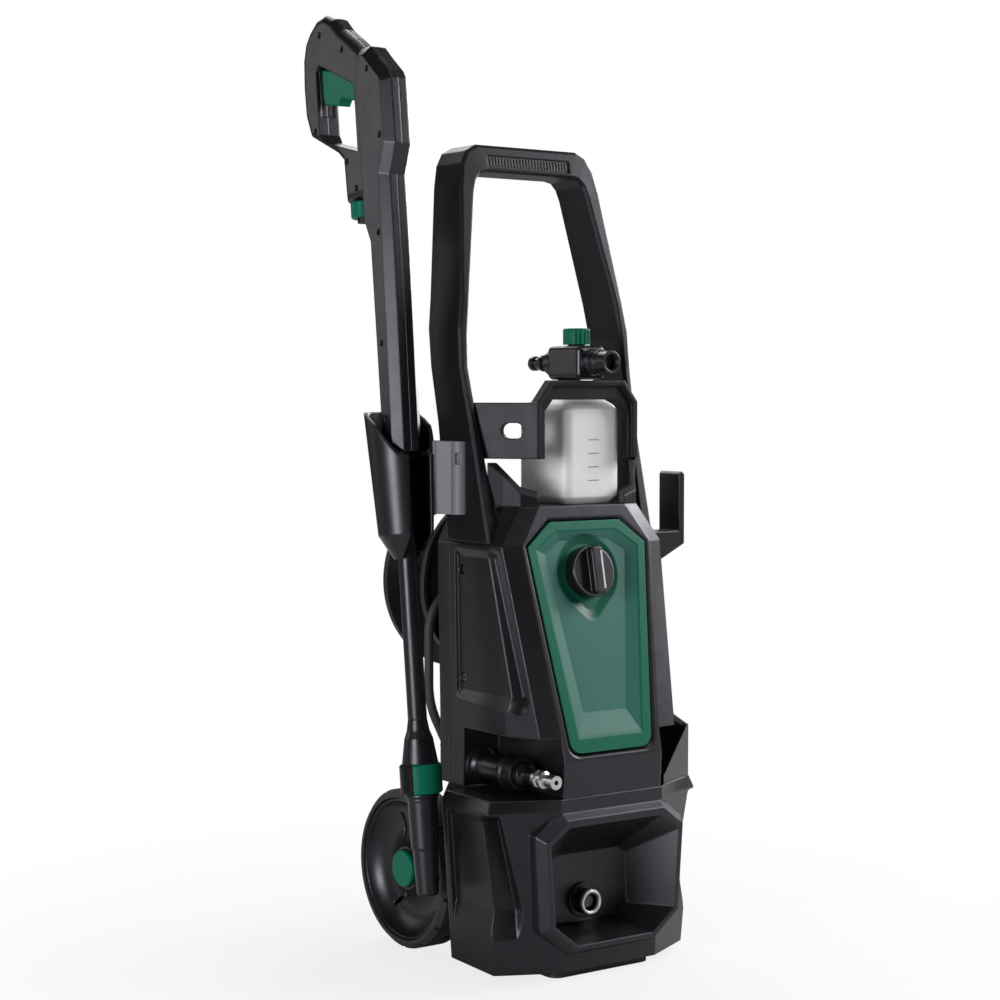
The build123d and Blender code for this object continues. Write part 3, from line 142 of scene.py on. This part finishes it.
LAMPS = [                           # name, place, watts, width
    ("key", (2.4, -1.1, 1.7), 112.0, 1.4),
    ("left", (-2.6, -0.9, 0.7), 55.0, 1.0),
    ("top", (0.0, -1.0, 2.7), 9.0, 1.4),
    ("rim", (2.0, 1.2, 1.2), 40.0, 1.2),
    ("back", (-1.8, 2.2, 1.1), 7.0, 1.2),
    ("rear", (0.7, 2.2, 2.7), 45.0, 1.6),
]
LAMP_AIM = (0.0, 0.0, 0.45)
SKY_LIGHT = 0.03                    # the white world as a light; the camera sees it at full strength
FLOOR_HALF = 30.0
FLOOR_TONES = ((0.48, 0.48, 0.48, 1.0), (0.52, 0.52, 0.52, 1.0))
FLOOR_FADE = (0.25, 0.8)            # distances between which the floor turns to plain white
FLOOR_WHITE = 0.8                   # share of plain white under the object
CAMERA_PLACE = (-1.350, -1.825, 0.600)
CAMERA_DROP = 2.89                  # degrees below level
CAMERA_TURN = -35.36
SENSOR = 36.0                       # millimetres
FAR_CLIP = 200.0

# Finishes

SHEEN = (0.90, 0.88, 1.0, 1.0)      # cool highlights of the plastics
# painted sheen: the paler colour of the panel's dish
PANEL_PAINTED_SHEEN = (0.034, 0.125, 0.100, 1.0)
EDGE_GAIN = 5.0                     # turns the bend of a rounded edge into the painted edge highlight's mask, from 0 to 1
EDGE_HIGHLIGHT_SHARE = 0.5                    # how much of the lighter colour the painted edge highlight shows


# Node trees

class Value:
    """A node's socket that takes part in Python expressions."""

    def __init__(self, tree, socket):
        self.tree = tree
        self.socket = socket

    def _math(self, operation, first, second):
        node = self.tree.nodes.new("ShaderNodeMath")
        node.operation = operation
        feed(self.tree, node.inputs[0], first)
        feed(self.tree, node.inputs[1], second)
        return Value(self.tree, node.outputs[0])

    def __add__(self, other):
        return self._math("ADD", self, other)

    def __radd__(self, other):
        return self._math("ADD", other, self)

    def __sub__(self, other):
        return self._math("SUBTRACT", self, other)

    def __rsub__(self, other):
        return self._math("SUBTRACT", other, self)

    def __mul__(self, other):
        return self._math("MULTIPLY", self, other)

    def __rmul__(self, other):
        return self._math("MULTIPLY", other, self)

    def above(self, limit):
        return self._math("GREATER_THAN", self, limit)


def feed(tree, socket, value):
    """Links a Value to a socket, or sets a plain value on it."""
    if isinstance(value, Value):
        tree.links.new(value.socket, socket)
    else:
        socket.default_value = value


class Nodes:
    """A node tree that is being built."""

    def __init__(self, tree):
        self.tree = tree

    def node(self, kind, settings=None, inputs=None, out=0):
        """Adds a node: its settings first, then the values or links of its sockets."""
        node = self.tree.nodes.new(kind)
        for key, value in (settings or {}).items():
            setattr(node, key, value)
        for key, value in (inputs or {}).items():
            feed(self.tree, node.inputs[key], value)
        return Value(self.tree, node.outputs[out])


class Finish(Nodes):
    """One material's node tree, with its Principled shader and Object coordinates ready."""

    def __init__(self, name):
        self.material = bpy.data.materials.new(name)
        self.material.use_nodes = True
        super().__init__(self.material.node_tree)
        self.tree.nodes.clear()
        self.output = self.tree.nodes.new("ShaderNodeOutputMaterial")
        self.shader = self.tree.nodes.new("ShaderNodeBsdfPrincipled")
        self.tree.links.new(self.shader.outputs[0], self.output.inputs[0])
        self.place = self.node("ShaderNodeTexCoord", out="Object")

    def noise(self, scale, detail, place=None, **more):
        sockets = {"Vector": place or self.place, "Scale": scale, "Detail": detail}
        return self.node("ShaderNodeTexNoise", None, sockets | more)

    def mix(self, first, second, factor):
        return self.node("ShaderNodeMix", {"data_type": "RGBA"}, {0: factor, 6: first, 7: second}, out=2)

    def ramp(self, value, low, high, start=0.0):
        """Rises from the start to 1 between two values."""
        sockets = {"Value": value, "From Min": low, "From Max": high, "To Min": start}
        return self.node("ShaderNodeMapRange", None, sockets)

    def dot(self, first, second):
        return self.node("ShaderNodeVectorMath", {"operation": "DOT_PRODUCT"}, {0: first, 1: second},
                         out="Value")

    def along(self, start, direction):
        """Distance of each spot from a start, along a direction."""
        offset = self.node("ShaderNodeVectorMath", {"operation": "SUBTRACT"}, {0: self.place, 1: start})
        return self.dot(offset, direction)

    def rounded(self, radius, samples=6):
        """Normals that run smoothly round the piece's edges."""
        return self.node("ShaderNodeBevel", {"samples": samples}, {"Radius": radius})

    def wear(self, rounded):
        """How much a spot lies on an edge, from 0 to 1: the mask of the painted edge highlight."""
        facing = self.node("ShaderNodeNewGeometry", out="Normal")
        bend = 1.0 - self.dot(rounded, facing)
        return self.node("ShaderNodeClamp", None, {"Value": bend * EDGE_GAIN})

    def bump(self, height, distance, strength, **more):
        sockets = {"Strength": strength, "Distance": distance, "Height": height}
        return self.node("ShaderNodeBump", None, sockets | more)

    def set(self, **sockets):
        for key, value in sockets.items():
            feed(self.tree, self.shader.inputs[key.replace("_", " ")], value)


def shade(colour, factor):
    return tuple(min(1.0, c * factor) for c in colour[:3]) + (1.0,)


# Materials

def moulded(name, colour, rough=0.45, grain=900.0, depth=0.00006, edge=0.0018, rim=2.6, gloss=0.5,
            mark=None):
    """Moulded plastic: fine spark-eroded grain, faint flow marks, edges painted lighter as a painted
    highlight.

    A mark (start, direction, reach, colour) is a second colour beyond a reach along a direction.
    """
    f = Finish(name)
    fine = f.noise(scale=grain, detail=2.0)
    flow = f.noise(scale=14.0, detail=4.0, Roughness=0.6)
    smears = f.noise(scale=55.0, detail=3.0, Distortion=0.8)
    rounded = f.rounded(edge)
    edge_highlight = f.wear(rounded)
    tone = f.mix(shade(colour, 0.86), shade(colour, 1.14), flow)
    # painted highlight: the edges are painted lighter, by the factor rim on the colour
    tone = f.mix(tone, shade(colour, rim), edge_highlight * EDGE_HIGHLIGHT_SHARE)
    if mark:
        start, direction, reach, second = mark
        tone = f.mix(tone, second, f.along(start, direction).above(reach))
    f.set(Base_Color=tone, Specular_IOR_Level=gloss, Specular_Tint=SHEEN,
          Roughness=rough + (smears - 0.5) * 0.12 + fine * 0.05 - edge_highlight * 0.06,
          Normal=f.bump(fine, distance=depth, strength=0.55, Normal=rounded))
    return f.material


def ring_plastic(name, colour, **options):
    """The nozzle ring's plastic, with its dark mark."""
    aside, behind = RING_MARK_SIDE
    direction = gun_point(aside, behind, 0) - gun_point(0, 0, 0)
    black = shade(colours().black, 1.0)
    mark = (tuple(gun_point(0, 0, RING_ALONG)), tuple(direction), RING_MARK_REACH, black)
    return moulded(name, colour, mark=mark, **options)


def panel_plastic(name, colour):
    """The panel: saturated rim, a dish painted paler as a painted sheen, a teardrop well painted darker as
    painted shade, told apart by depth below the rim.
    """
    f = Finish(name)
    base = panel_matrix(0.0)
    depth = f.along(tuple(base.translation), tuple(base.col[2][:3]))
    dish = f.ramp(depth, *DISH_EDGE)
    well = f.ramp(depth, *WELL_EDGE)
    fine = f.noise(scale=1300.0, detail=2.0)
    broad = f.noise(scale=12.0, detail=4.0)
    rounded = f.rounded(0.0012)
    # painted sheen on the dish, painted paler; painted shade in the well, painted darker
    tone = f.mix(f.mix(colour, PANEL_PAINTED_SHEEN, dish), shade(colour, 0.75), well)
    # painted highlight: the panel's edges are painted lighter
    tone = f.mix(tone, shade(colour, 2.6), f.wear(rounded) * EDGE_HIGHLIGHT_SHARE)
    tone = f.mix(tone, shade(colour, 1.3), (broad - 0.5) * 0.25)
    f.set(Base_Color=tone, Specular_IOR_Level=0.22,
          Roughness=0.34 + broad * 0.1 + fine * 0.06,
          Normal=f.bump(fine, distance=0.00004, strength=0.4, Normal=rounded))
    return f.material


def rubber(name, colour, rough=0.72):
    """Rubber: dusty, matt, with a slight bloom."""
    f = Finish(name)
    fine = f.noise(scale=420.0, detail=4.0)
    bloom = f.noise(scale=22.0, detail=5.0, Roughness=0.65)
    f.set(Base_Color=f.mix(shade(colour, 0.8), shade(colour, 1.5), bloom),
          Roughness=rough + (bloom - 0.5) * 0.2,
          Normal=f.bump(fine, distance=0.0001, strength=0.5, Normal=f.rounded(0.0012)))
    return f.material


def metal(name, colour, rough, stretch=(1.0, 1.0, 1.0), scale=300.0):
    """Turned or brushed metal: fine lines along one direction, dull patches."""
    f = Finish(name)
    lined = f.node("ShaderNodeMapping", None, {"Vector": f.place, "Scale": stretch})
    lines = f.noise(scale=scale, detail=3.0, place=lined)
    dull = f.noise(scale=40.0, detail=4.0)
    f.set(Base_Color=f.mix(shade(colour, 0.82), shade(colour, 1.1), lines), Metallic=1.0,
          Roughness=rough - 0.08 + lines * 0.12 + dull * 0.1,
          Normal=f.bump(lines, distance=0.00005, strength=0.3))
    return f.material


def milky(name, colour):
    """Natural polyethylene: milky, a little cloudy, with soft edges."""
    f = Finish(name)
    cloud = f.noise(scale=18.0, detail=4.0)
    fine = f.noise(scale=700.0, detail=2.0)
    f.set(Base_Color=f.mix(shade(colour, 0.93), shade(colour, 1.05), cloud),
          Roughness=0.36 + cloud * 0.1,
          Normal=f.bump(fine, distance=0.00005, strength=0.3, Normal=f.rounded(0.004, samples=8)),
          Subsurface_Weight=0.3, Subsurface_Radius=(0.02, 0.02, 0.019), Subsurface_Scale=1.0)
    return f.material


# Meshes

def new_object(name, data):
    obj = bpy.data.objects.new(name, data)
    bpy.context.scene.collection.objects.link(obj)
    return obj


def dress(obj, material, body):
    """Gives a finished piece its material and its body."""
    obj.data.materials.clear()
    obj.data.materials.append(material)
    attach(obj, body)


def smooth(mesh, angle):
    """Smooth shading, apart from edges sharper than an angle in degrees."""
    mesh.set_sharp_from_angle(angle=radians(angle))
    for face in mesh.polygons:
        face.use_smooth = True


def ring_mesh(name, radius, bead, matrix, around=64, across=8):
    """A thin bead bent into a circle about the matrix's Z axis."""
    points = []
    faces = []
    for i in range(around):
        turn = 2 * pi * i / around
        here = i * across
        ahead = (i + 1) % around * across
        for j in range(across):
            lift = 2 * pi * j / across
            reach = radius + bead * cos(lift)
            points.append(matrix @ Vector((reach * cos(turn), reach * sin(turn), bead * sin(lift))))
            beside = (j + 1) % across
            faces.append((here + j, ahead + j, ahead + beside, here + beside))
    mesh = bpy.data.meshes.new(name)
    mesh.from_pydata([tuple(p) for p in points], [], faces)
    smooth(mesh, 80)
    return mesh


def gun_point(x, behind, along):
    """A point of the gun's own frame, in the shared frame."""
    x0, y0, z0 = GUN_PLACE
    return Vector((x0 + x, y0 + behind * cos(GUN_LEAN) + along * sin(GUN_LEAN),
                   z0 - behind * sin(GUN_LEAN) + along * cos(GUN_LEAN)))


def panel_matrix(up):
    """Frame on the panel's front plane at a distance up its slope: x right, y up the slope, z outwards."""
    front = DECK_FRONT - (DECK_Z - PANEL_Z) * tan(LEAN)
    x = Vector((1, 0, 0))
    y = Vector((0, sin(LEAN), cos(LEAN)))
    z = Vector((0, -cos(LEAN), sin(LEAN)))
    matrix = Matrix((x, y, z)).transposed().to_4x4()
    matrix.translation = Vector((0, front, PANEL_Z)) + y * up
    return matrix


def rounded_route(points, radii, steps=16):
    """The line through flat points, with an arc of its radius at each inner corner."""
    line = [Vector(points[0])]
    for before, corner, after, radius in zip(points, points[1:], points[2:], radii):
        corner = Vector(corner)
        back = (Vector(before) - corner).normalized()
        onward = (Vector(after) - corner).normalized()
        half = back.angle(onward) / 2
        centre = corner + (back + onward).normalized() * (radius / sin(half))
        first = (corner + back * (radius / tan(half)) - centre).normalized()
        last = (corner + onward * (radius / tan(half)) - centre).normalized()
        line += [centre + first.slerp(last, i / steps) * radius for i in range(steps + 1)]
    return line + [Vector(points[-1])]


# Geometry Nodes

class PointTree(Nodes):
    """A Geometry Nodes tree with named inputs, which sets a shape at each point of a mesh."""

    def __init__(self, name, inputs):
        super().__init__(bpy.data.node_groups.new(name, "GeometryNodeTree"))
        sockets = self.tree.interface
        sockets.new_socket("Geometry", in_out="INPUT", socket_type="NodeSocketGeometry")
        self.ids = {}
        for label, kind in (inputs | {"Turn": "Rotation", "Material": "Material"}).items():
            socket = sockets.new_socket(label, in_out="INPUT", socket_type="NodeSocket" + kind)
            self.ids[label] = socket.identifier
        sockets.new_socket("Geometry", in_out="OUTPUT", socket_type="NodeSocketGeometry")
        self.source = self.tree.nodes.new("NodeGroupInput")
        self.sink = self.tree.nodes.new("NodeGroupOutput")

    def given(self, label):
        return Value(self.tree, self.source.outputs[label])

    def repeat(self, shape):
        """Ends the tree: the shape at each point, turned, made real and painted."""
        sockets = {"Points": self.given("Geometry"), "Instance": shape, "Rotation": self.given("Turn")}
        placed = self.node("GeometryNodeInstanceOnPoints", None, sockets)
        real = self.node("GeometryNodeRealizeInstances", None, {0: placed})
        painted = self.node("GeometryNodeSetMaterial", None, {0: real, "Material": self.given("Material")})
        feed(self.tree, self.sink.inputs[0], painted)
        return self

    def grow(self, name, points, values):
        """Runs the tree on a mesh of points and returns the result as a plain mesh object."""
        mesh = bpy.data.meshes.new(name + "_points")
        mesh.from_pydata([tuple(p) for p in points], [], [])
        obj = new_object(name, mesh)
        modifier = obj.modifiers.new("grow", "NODES")
        modifier.node_group = self.tree
        for label, value in values.items():
            modifier[self.ids[label]] = value
        bpy.context.view_layer.update()
        result = bpy.data.meshes.new_from_object(obj.evaluated_get(bpy.context.evaluated_depsgraph_get()))
        obj.modifiers.clear()
        obj.data = result
        bpy.data.meshes.remove(mesh)
        return obj


def socket_tree():
    """Dark driver sockets."""
    t = PointTree("screw_sockets", {"Radius": "Float", "Depth": "Float", "Sides": "Int"})
    sockets = {"Vertices": t.given("Sides"), "Radius": t.given("Radius"), "Depth": t.given("Depth")}
    return t.repeat(t.node("GeometryNodeMeshCylinder", {"fill_type": "NGON"}, sockets))


def bar_tree():
    """Small bars: graduations, grip ribs."""
    t = PointTree("raised_bars", {"Size": "Vector"})
    return t.repeat(t.node("GeometryNodeMeshCube", None, {"Size": t.given("Size")}))


def thread_tree():
    """A hose thread: a round bead wound along a cylinder."""
    t = PointTree("hose_thread", {"Radius": "Float", "Length": "Float", "Turns": "Float", "Bead": "Float"})
    helix = t.node("GeometryNodeCurveSpiral", None,
                   {"Resolution": 40, "Rotations": t.given("Turns"), "Start Radius": t.given("Radius"),
                    "End Radius": t.given("Radius"), "Height": t.given("Length")})
    profile = t.node("GeometryNodeCurvePrimitiveCircle", None, {"Resolution": 8, "Radius": t.given("Bead")})
    return t.repeat(t.node("GeometryNodeCurveToMesh", None,
                           {"Curve": helix, "Profile Curve": profile, "Fill Caps": True}))


# Settings

class WasherColours(bpy.types.PropertyGroup):
    black: FloatVectorProperty(
        name="Black plastic", description="Body mouldings",
        subtype="COLOR", default=(0.0062, 0.0058, 0.0072))
    green: FloatVectorProperty(
        name="Green plastic", description="Panel, trigger, knobs and caps",
        subtype="COLOR", default=(0.002, 0.098, 0.058))
    grey: FloatVectorProperty(
        name="Grey plastic", description="Clip that carries the lance holder",
        subtype="COLOR", default=(0.13, 0.13, 0.145))
    milk: FloatVectorProperty(
        name="Bottle", description="Natural polyethylene",
        subtype="COLOR", default=(0.80, 0.78, 0.79))
    tyre: FloatVectorProperty(
        name="Tyres", description="Tread rubber",
        subtype="COLOR", default=(0.016, 0.016, 0.017))
    # colour of the painted highlight on the knob bar's edge
    mark: FloatVectorProperty(
        name="Knob highlight", description="Line on the switch knob",
        subtype="COLOR", default=(0.55, 0.55, 0.55))


class WasherSizes(bpy.types.PropertyGroup):
    hose_width: FloatProperty(
        name="Feed hose", description="Outside diameter of the hose to the reel",
        default=0.010, unit="LENGTH")
    socket_radius: FloatProperty(
        name="Screw socket", description="Radius of the driver sockets",
        default=0.0018, unit="LENGTH")
    graduations: IntProperty(
        name="Graduations", description="Level marks on the bottle",
        default=4, min=1)
    grip_ribs: IntProperty(
        name="Grip ribs", description="Ribs across the handle's soft insert",
        default=26, min=2)
    thread_turns: FloatProperty(
        name="Thread turns", description="Turns of the hose thread",
        default=4.0)
    lens: FloatProperty(
        name="Lens", description="Focal length on a 36 mm frame",
        default=76.36, subtype="DISTANCE_CAMERA")


def colours():
    return bpy.context.scene.washer_colours


def sizes():
    return bpy.context.scene.washer_sizes


# Finish by name: its maker, its colour as a setting or as a value, a factor on the colour, options
# rim in the options: the factor on the colour of the painted edge highlight
SATIN = {"rough": 0.32, "grain": 1300.0, "depth": 0.00004, "rim": 2.0, "gloss": 0.12}
FINISHES = {
    "body_black": (moulded, "black", 1.0, {"rough": 0.32, "edge": 0.0026}),
    "bracket_black": (moulded, "black", 1.0, {"rough": 0.42, "edge": 0.0026, "gloss": 0.22}),
    "trim_black": (moulded, "black", 0.7, {"rough": 0.32, "grain": 1400.0, "depth": 0.00003}),
    "reel_black": (moulded, "black", 0.8, {"rough": 0.5}),
    "satin_green": (moulded, "green", 1.12, SATIN),
    "ring_green": (ring_plastic, "green", 1.12, SATIN),
    "panel_green": (panel_plastic, "green", 1.0, {}),
    "mark_grey": (moulded, "milk", 0.42, {"rough": 0.5, "rim": 1.1}),
    "clip_grey": (moulded, "grey", 1.0, {"rough": 0.5, "rim": 1.6}),
    "milky_bottle": (milky, "milk", 1.0, {}),
    "tread_rubber": (rubber, "tyre", 1.0, {}),
    "soft_rubber": (rubber, "tyre", 1.2, {"rough": 0.65}),
    "pointer_white": (moulded, "mark", 1.0, {"rough": 0.4, "rim": 1.2}),
    "socket_dark": (moulded, (0.004, 0.004, 0.004), 1.0, {"rough": 0.6, "rim": 1.5}),
    "plain_steel": (metal, (0.62, 0.62, 0.63), 1.0, {"rough": 0.28, "stretch": (1.0, 12.0, 1.0)}),
    "dark_steel": (metal, (0.2, 0.2, 0.21), 1.0, {"rough": 0.42}),
    "black_steel": (metal, (0.03, 0.03, 0.033), 1.0, {"rough": 0.5}),
    "cast_alloy": (metal, (0.68, 0.68, 0.69), 1.0, {"rough": 0.45, "scale": 180.0}),
}
MADE = {}

NODE_FINISHES = {
    "body_black": ["front_shell", "rear_shell", "base_shell", "lance_holder", "cord_hook",
                   "gun_shell_left", "gun_shell_right", "wheel_rim_left", "wheel_rim_right"],
    "bracket_black": ["bottle_bracket", "handle"],
    "trim_black": ["switch_knob", "switch_box", "outlet_body", "outlet_collar", "water_inlet", "foam_head",
                   "foam_stem", "foam_nozzle", "lance_tube", "nozzle_body", "feed_fittings"],
    "reel_black": ["reel_bracket", "reel_flanges", "reel_drum", "crank_arm", "crank_grip"],
    "panel_green": ["control_panel"],
    "ring_green": ["nozzle_ring"],
    "satin_green": ["trigger", "hose_collar", "foam_knob", "hub_cap_left", "hub_cap_right"],
    "clip_grey": ["holder_arm", "capacitor", "inlet_filter"],
    "milky_bottle": ["foam_bottle", "suction_tube"],
    "tread_rubber": ["tyre_left", "tyre_right"],
    "soft_rubber": ["foot_pad", "grip_insert", "cord_gland"],
    "plain_steel": ["axle", "outlet_nipple", "outlet_pipe", "motor_bearings", "stator", "pistons", "rotor"],
    "dark_steel": ["body_screws"],
    "black_steel": ["gun_valve"],
    "socket_dark": ["gun_screws"],
    "cast_alloy": ["motor_housing", "pump_body", "pump_head", "inlet_ring"],
}


def finish(name):
    """The named finish, made once."""
    if name not in MADE:
        maker, colour, factor, options = FINISHES[name]
        if isinstance(colour, str):
            colour = getattr(colours(), colour)
        MADE[name] = maker(name, shade(colour, factor), **options)
    return MADE[name]


# Pieces

class WASHER_OT_finishes(bpy.types.Operator):
    """Gives every moulded, turned and cast piece its finish"""
    bl_idname = "washer.finishes"
    bl_label = "Finishes"

    def execute(self, context):
        for name, nodes in NODE_FINISHES.items():
            for node in nodes:
                mesh = NODES[node].data
                mesh.materials.clear()
                mesh.materials.append(finish(name))
        return {"FINISHED"}


class WASHER_OT_feed_hose(bpy.types.Operator):
    """Lays the short hose from the body to the reel's swivel"""
    bl_idname = "washer.feed_hose"
    bl_label = "Feed hose"

    def execute(self, context):
        width = sizes().hose_width
        curve = bpy.data.curves.new("feed_hose_line", "CURVE")
        curve.dimensions = "3D"
        route = rounded_route(FEED_ROUTE, FEED_RADII)
        spline = curve.splines.new("POLY")
        spline.points.add(len(route) - 1)
        for point, (x, z) in zip(spline.points, route):
            point.co = (x, FEED_Y, z, 1.0)
        spline.use_smooth = True
        curve.bevel_depth = width / 2
        curve.bevel_resolution = 6
        curve.use_fill_caps = True
        hose = new_object("feed_hose_piece", curve)
        dress(hose, finish("soft_rubber"), "chassis")
        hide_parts("feed_hose")
        return {"FINISHED"}


class WASHER_OT_knob_highlights(bpy.types.Operator):
    """Adds painted highlights to the switch knob: a white strip along the right edge of its bar, and a grey
    bead round its edge
    """
    bl_idname = "washer.knob_marks"
    bl_label = "Knob marks"

    def execute(self, context):
        place = panel_matrix(KNOB_UP)
        seat = place @ Matrix.Translation((KNOB_HIGHLIGHT_ASIDE, 0, KNOB_TOP + KNOB_HIGHLIGHT_LIFT))
        # painted highlight: a white strip on the right edge of the knob's bar
        bm = bmesh.new()
        bmesh.ops.create_cube(bm, size=1.0)
        bmesh.ops.scale(bm, vec=KNOB_HIGHLIGHT_SIZE, verts=bm.verts)
        bmesh.ops.bevel(bm, geom=bm.edges[:], offset=KNOB_HIGHLIGHT_EDGE, segments=2, affect="EDGES")
        bmesh.ops.transform(bm, matrix=seat, verts=bm.verts)
        mesh = bpy.data.meshes.new("knob_pointer")
        bm.to_mesh(mesh)
        bm.free()
        dress(new_object("knob_pointer", mesh), finish("pointer_white"), "knob")
        # painted highlight: a grey bead round the knob's edge
        lifted = place @ Matrix.Translation((0, 0, KNOB_RIM_HIGH))
        rim = ring_mesh("knob_rim", KNOB_RIM_R, KNOB_RIM_BEAD, lifted)
        dress(new_object("knob_rim", rim), finish("clip_grey"), "knob")
        return {"FINISHED"}


class WASHER_OT_screw_sockets(bpy.types.Operator):
    """Sinks a driver socket in each visible screw"""
    bl_idname = "washer.screw_sockets"
    bl_label = "Screw sockets"

    def execute(self, context):
        tree = socket_tree()
        dark = finish("socket_dark")
        values = {"Radius": sizes().socket_radius, "Depth": SOCKET_DEPTH, "Sides": SOCKET_SIDES,
                  "Turn": Euler((0, pi / 2, 0)), "Material": dark}
        spots = []
        for half, screws in ((GRIP_HALF, GRIP_SCREWS), (BARREL_HALF, BARREL_SCREWS)):
            spots += [gun_point(SCREW_SINK - half - SOCKET_LIFT, *screw) for screw in screws]
        dress(tree.grow("gun_screw_sockets", spots, values), dark, "gun")
        spots = [(side * SIDE_SCREW_X, SIDE_SCREW_Y, z) for side in (-1, 1) for z in SIDE_SCREW_HEIGHTS]
        dress(tree.grow("side_screw_sockets", spots, values), dark, "chassis")
        values["Turn"] = Euler((pi / 2, 0, 0))
        spots = [(side * REAR_SCREW_X, REAR_SCREW_Y, z) for side in (-1, 1) for z in REAR_SCREW_HEIGHTS]
        dress(tree.grow("rear_screw_sockets", spots, values), dark, "chassis")
        return {"FINISHED"}


class WASHER_OT_bars(bpy.types.Operator):
    """Adds the bottle's graduations and the ribs of the handle's soft insert"""
    bl_idname = "washer.bars"
    bl_label = "Graduations and ribs"

    def execute(self, context):
        tree = bar_tree()
        grey = finish("mark_grey")
        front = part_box("foam_bottle")[0][1]
        spots = [(MARK_X, front + MARK_SINK, MARK_LOW + MARK_STEP * i) for i in range(sizes().graduations)]
        values = {"Size": MARK_SIZE, "Turn": Euler((0, 0, 0)), "Material": grey}
        dress(tree.grow("bottle_graduations", spots, values), grey, "foam_unit")

        soft = finish("soft_rubber")
        low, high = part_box("grip_insert")
        count = sizes().grip_ribs
        step = (high[0] - low[0] - 2 * RIB_MARGIN) / (count - 1)
        middle = (low[2] + high[2]) / 2
        spots = [(low[0] + RIB_MARGIN + step * i, low[1] + RIB_SINK, middle) for i in range(count)]
        values = {"Size": RIB_SIZE, "Turn": Euler((RIB_LEAN, 0, 0)), "Material": soft}
        dress(tree.grow("grip_ribs", spots, values), soft, "chassis")
        return {"FINISHED"}


class WASHER_OT_thread(bpy.types.Operator):
    """Winds the hose thread on the water inlet"""
    bl_idname = "washer.thread"
    bl_label = "Inlet thread"

    def execute(self, context):
        black = finish("trim_black")
        values = {"Radius": THREAD_R, "Length": THREAD_L, "Turns": sizes().thread_turns, "Bead": THREAD_BEAD,
                  "Turn": Euler((pi / 2, 0, 0)), "Material": black}
        thread = thread_tree().grow("inlet_thread", [THREAD_PLACE], values)
        smooth(thread.data, 60)
        dress(thread, black, "chassis")
        return {"FINISHED"}


# Studio

def white_world(scene):
    """A white background that lights the object only a little."""
    world = bpy.data.worlds.new("studio_white")
    scene.world = world
    world.use_nodes = True
    sky = Nodes(world.node_tree)
    camera_ray = sky.node("ShaderNodeLightPath", out="Is Camera Ray")
    level = sky.node("ShaderNodeMapRange", None, {"Value": camera_ray, "To Min": SKY_LIGHT, "To Max": 1.0})
    back = sky.tree.nodes["Background"]
    feed(sky.tree, back.inputs["Strength"], level)
    feed(sky.tree, back.inputs["Color"], (1.0, 1.0, 1.0, 1.0))


def white_floor():
    """A floor with a faint shadow, which turns to plain white away from the object."""
    bm = bmesh.new()
    bmesh.ops.create_grid(bm, x_segments=8, y_segments=8, size=FLOOR_HALF)
    mesh = bpy.data.meshes.new("floor")
    bm.to_mesh(mesh)
    bm.free()
    f = Finish("floor_white")
    f.set(Base_Color=f.mix(*FLOOR_TONES, f.noise(scale=6.0, detail=2.0)), Roughness=0.9)
    distance = f.node("ShaderNodeVectorMath", {"operation": "LENGTH"}, {0: f.place}, out="Value")
    camera_ray = f.node("ShaderNodeLightPath", out="Is Camera Ray")
    plain = camera_ray * f.ramp(distance, *FLOOR_FADE, start=FLOOR_WHITE)
    lit = Value(f.tree, f.shader.outputs[0])
    blend = f.node("ShaderNodeMixShader", None, {0: plain, 1: lit, 2: f.node("ShaderNodeEmission")})
    feed(f.tree, f.output.inputs[0], blend)
    mesh.materials.append(f.material)
    new_object("floor", mesh)


def soft_lamps():
    """Area lamps round the object, all aimed at its middle."""
    for name, place, watts, width in LAMPS:
        light = bpy.data.lights.new(name, "AREA")
        light.energy = watts
        light.size = width
        lamp = new_object(name, light)
        lamp.location = place
        lamp.rotation_euler = (Vector(LAMP_AIM) - Vector(place)).to_track_quat("-Z", "Y").to_euler()


def front_camera(scene):
    """The camera, in front and to the left."""
    camera = bpy.data.cameras.new("camera")
    camera.lens = sizes().lens
    camera.sensor_width = SENSOR
    camera.sensor_fit = "HORIZONTAL"
    camera.clip_end = FAR_CLIP
    eye = new_object("camera", camera)
    eye.location = CAMERA_PLACE
    eye.rotation_euler = (radians(90 - CAMERA_DROP), 0, radians(CAMERA_TURN))
    scene.camera = eye


class WASHER_OT_stage(bpy.types.Operator):
    """Sets the pale floor, soft studio lights and the camera"""
    bl_idname = "washer.stage"
    bl_label = "Studio"

    def execute(self, context):
        scene = context.scene
        scene.view_settings.view_transform = "Standard"
        white_world(scene)
        white_floor()
        soft_lamps()
        front_camera(scene)
        return {"FINISHED"}


class WASHER_PT_panel(bpy.types.Panel):
    """Sizes, colours and steps of the dressing"""
    bl_idname = "WASHER_PT_panel"
    bl_label = "Pressure washer"
    bl_space_type = "VIEW_3D"
    bl_region_type = "UI"
    bl_category = "Washer"

    def draw(self, context):
        for group in (context.scene.washer_colours, context.scene.washer_sizes):
            for key in group.__annotations__:
                self.layout.prop(group, key)
        for step in STEPS:
            self.layout.operator(step.bl_idname)


STEPS = (WASHER_OT_stage, WASHER_OT_feed_hose, WASHER_OT_finishes, WASHER_OT_knob_highlights,
         WASHER_OT_screw_sockets, WASHER_OT_bars, WASHER_OT_thread)
CLASSES = (WasherColours, WasherSizes) + STEPS + (WASHER_PT_panel,)


def register():
    for cls in CLASSES:
        bpy.utils.register_class(cls)
    bpy.types.Scene.washer_colours = PointerProperty(type=WasherColours)
    bpy.types.Scene.washer_sizes = PointerProperty(type=WasherSizes)


def unregister():
    del bpy.types.Scene.washer_sizes
    del bpy.types.Scene.washer_colours
    for cls in reversed(CLASSES):
        bpy.utils.unregister_class(cls)


def main():
    register()
    for step in STEPS:
        group, name = step.bl_idname.split(".")
        getattr(getattr(bpy.ops, group), name)()


if __name__ == "__main__":
    main()
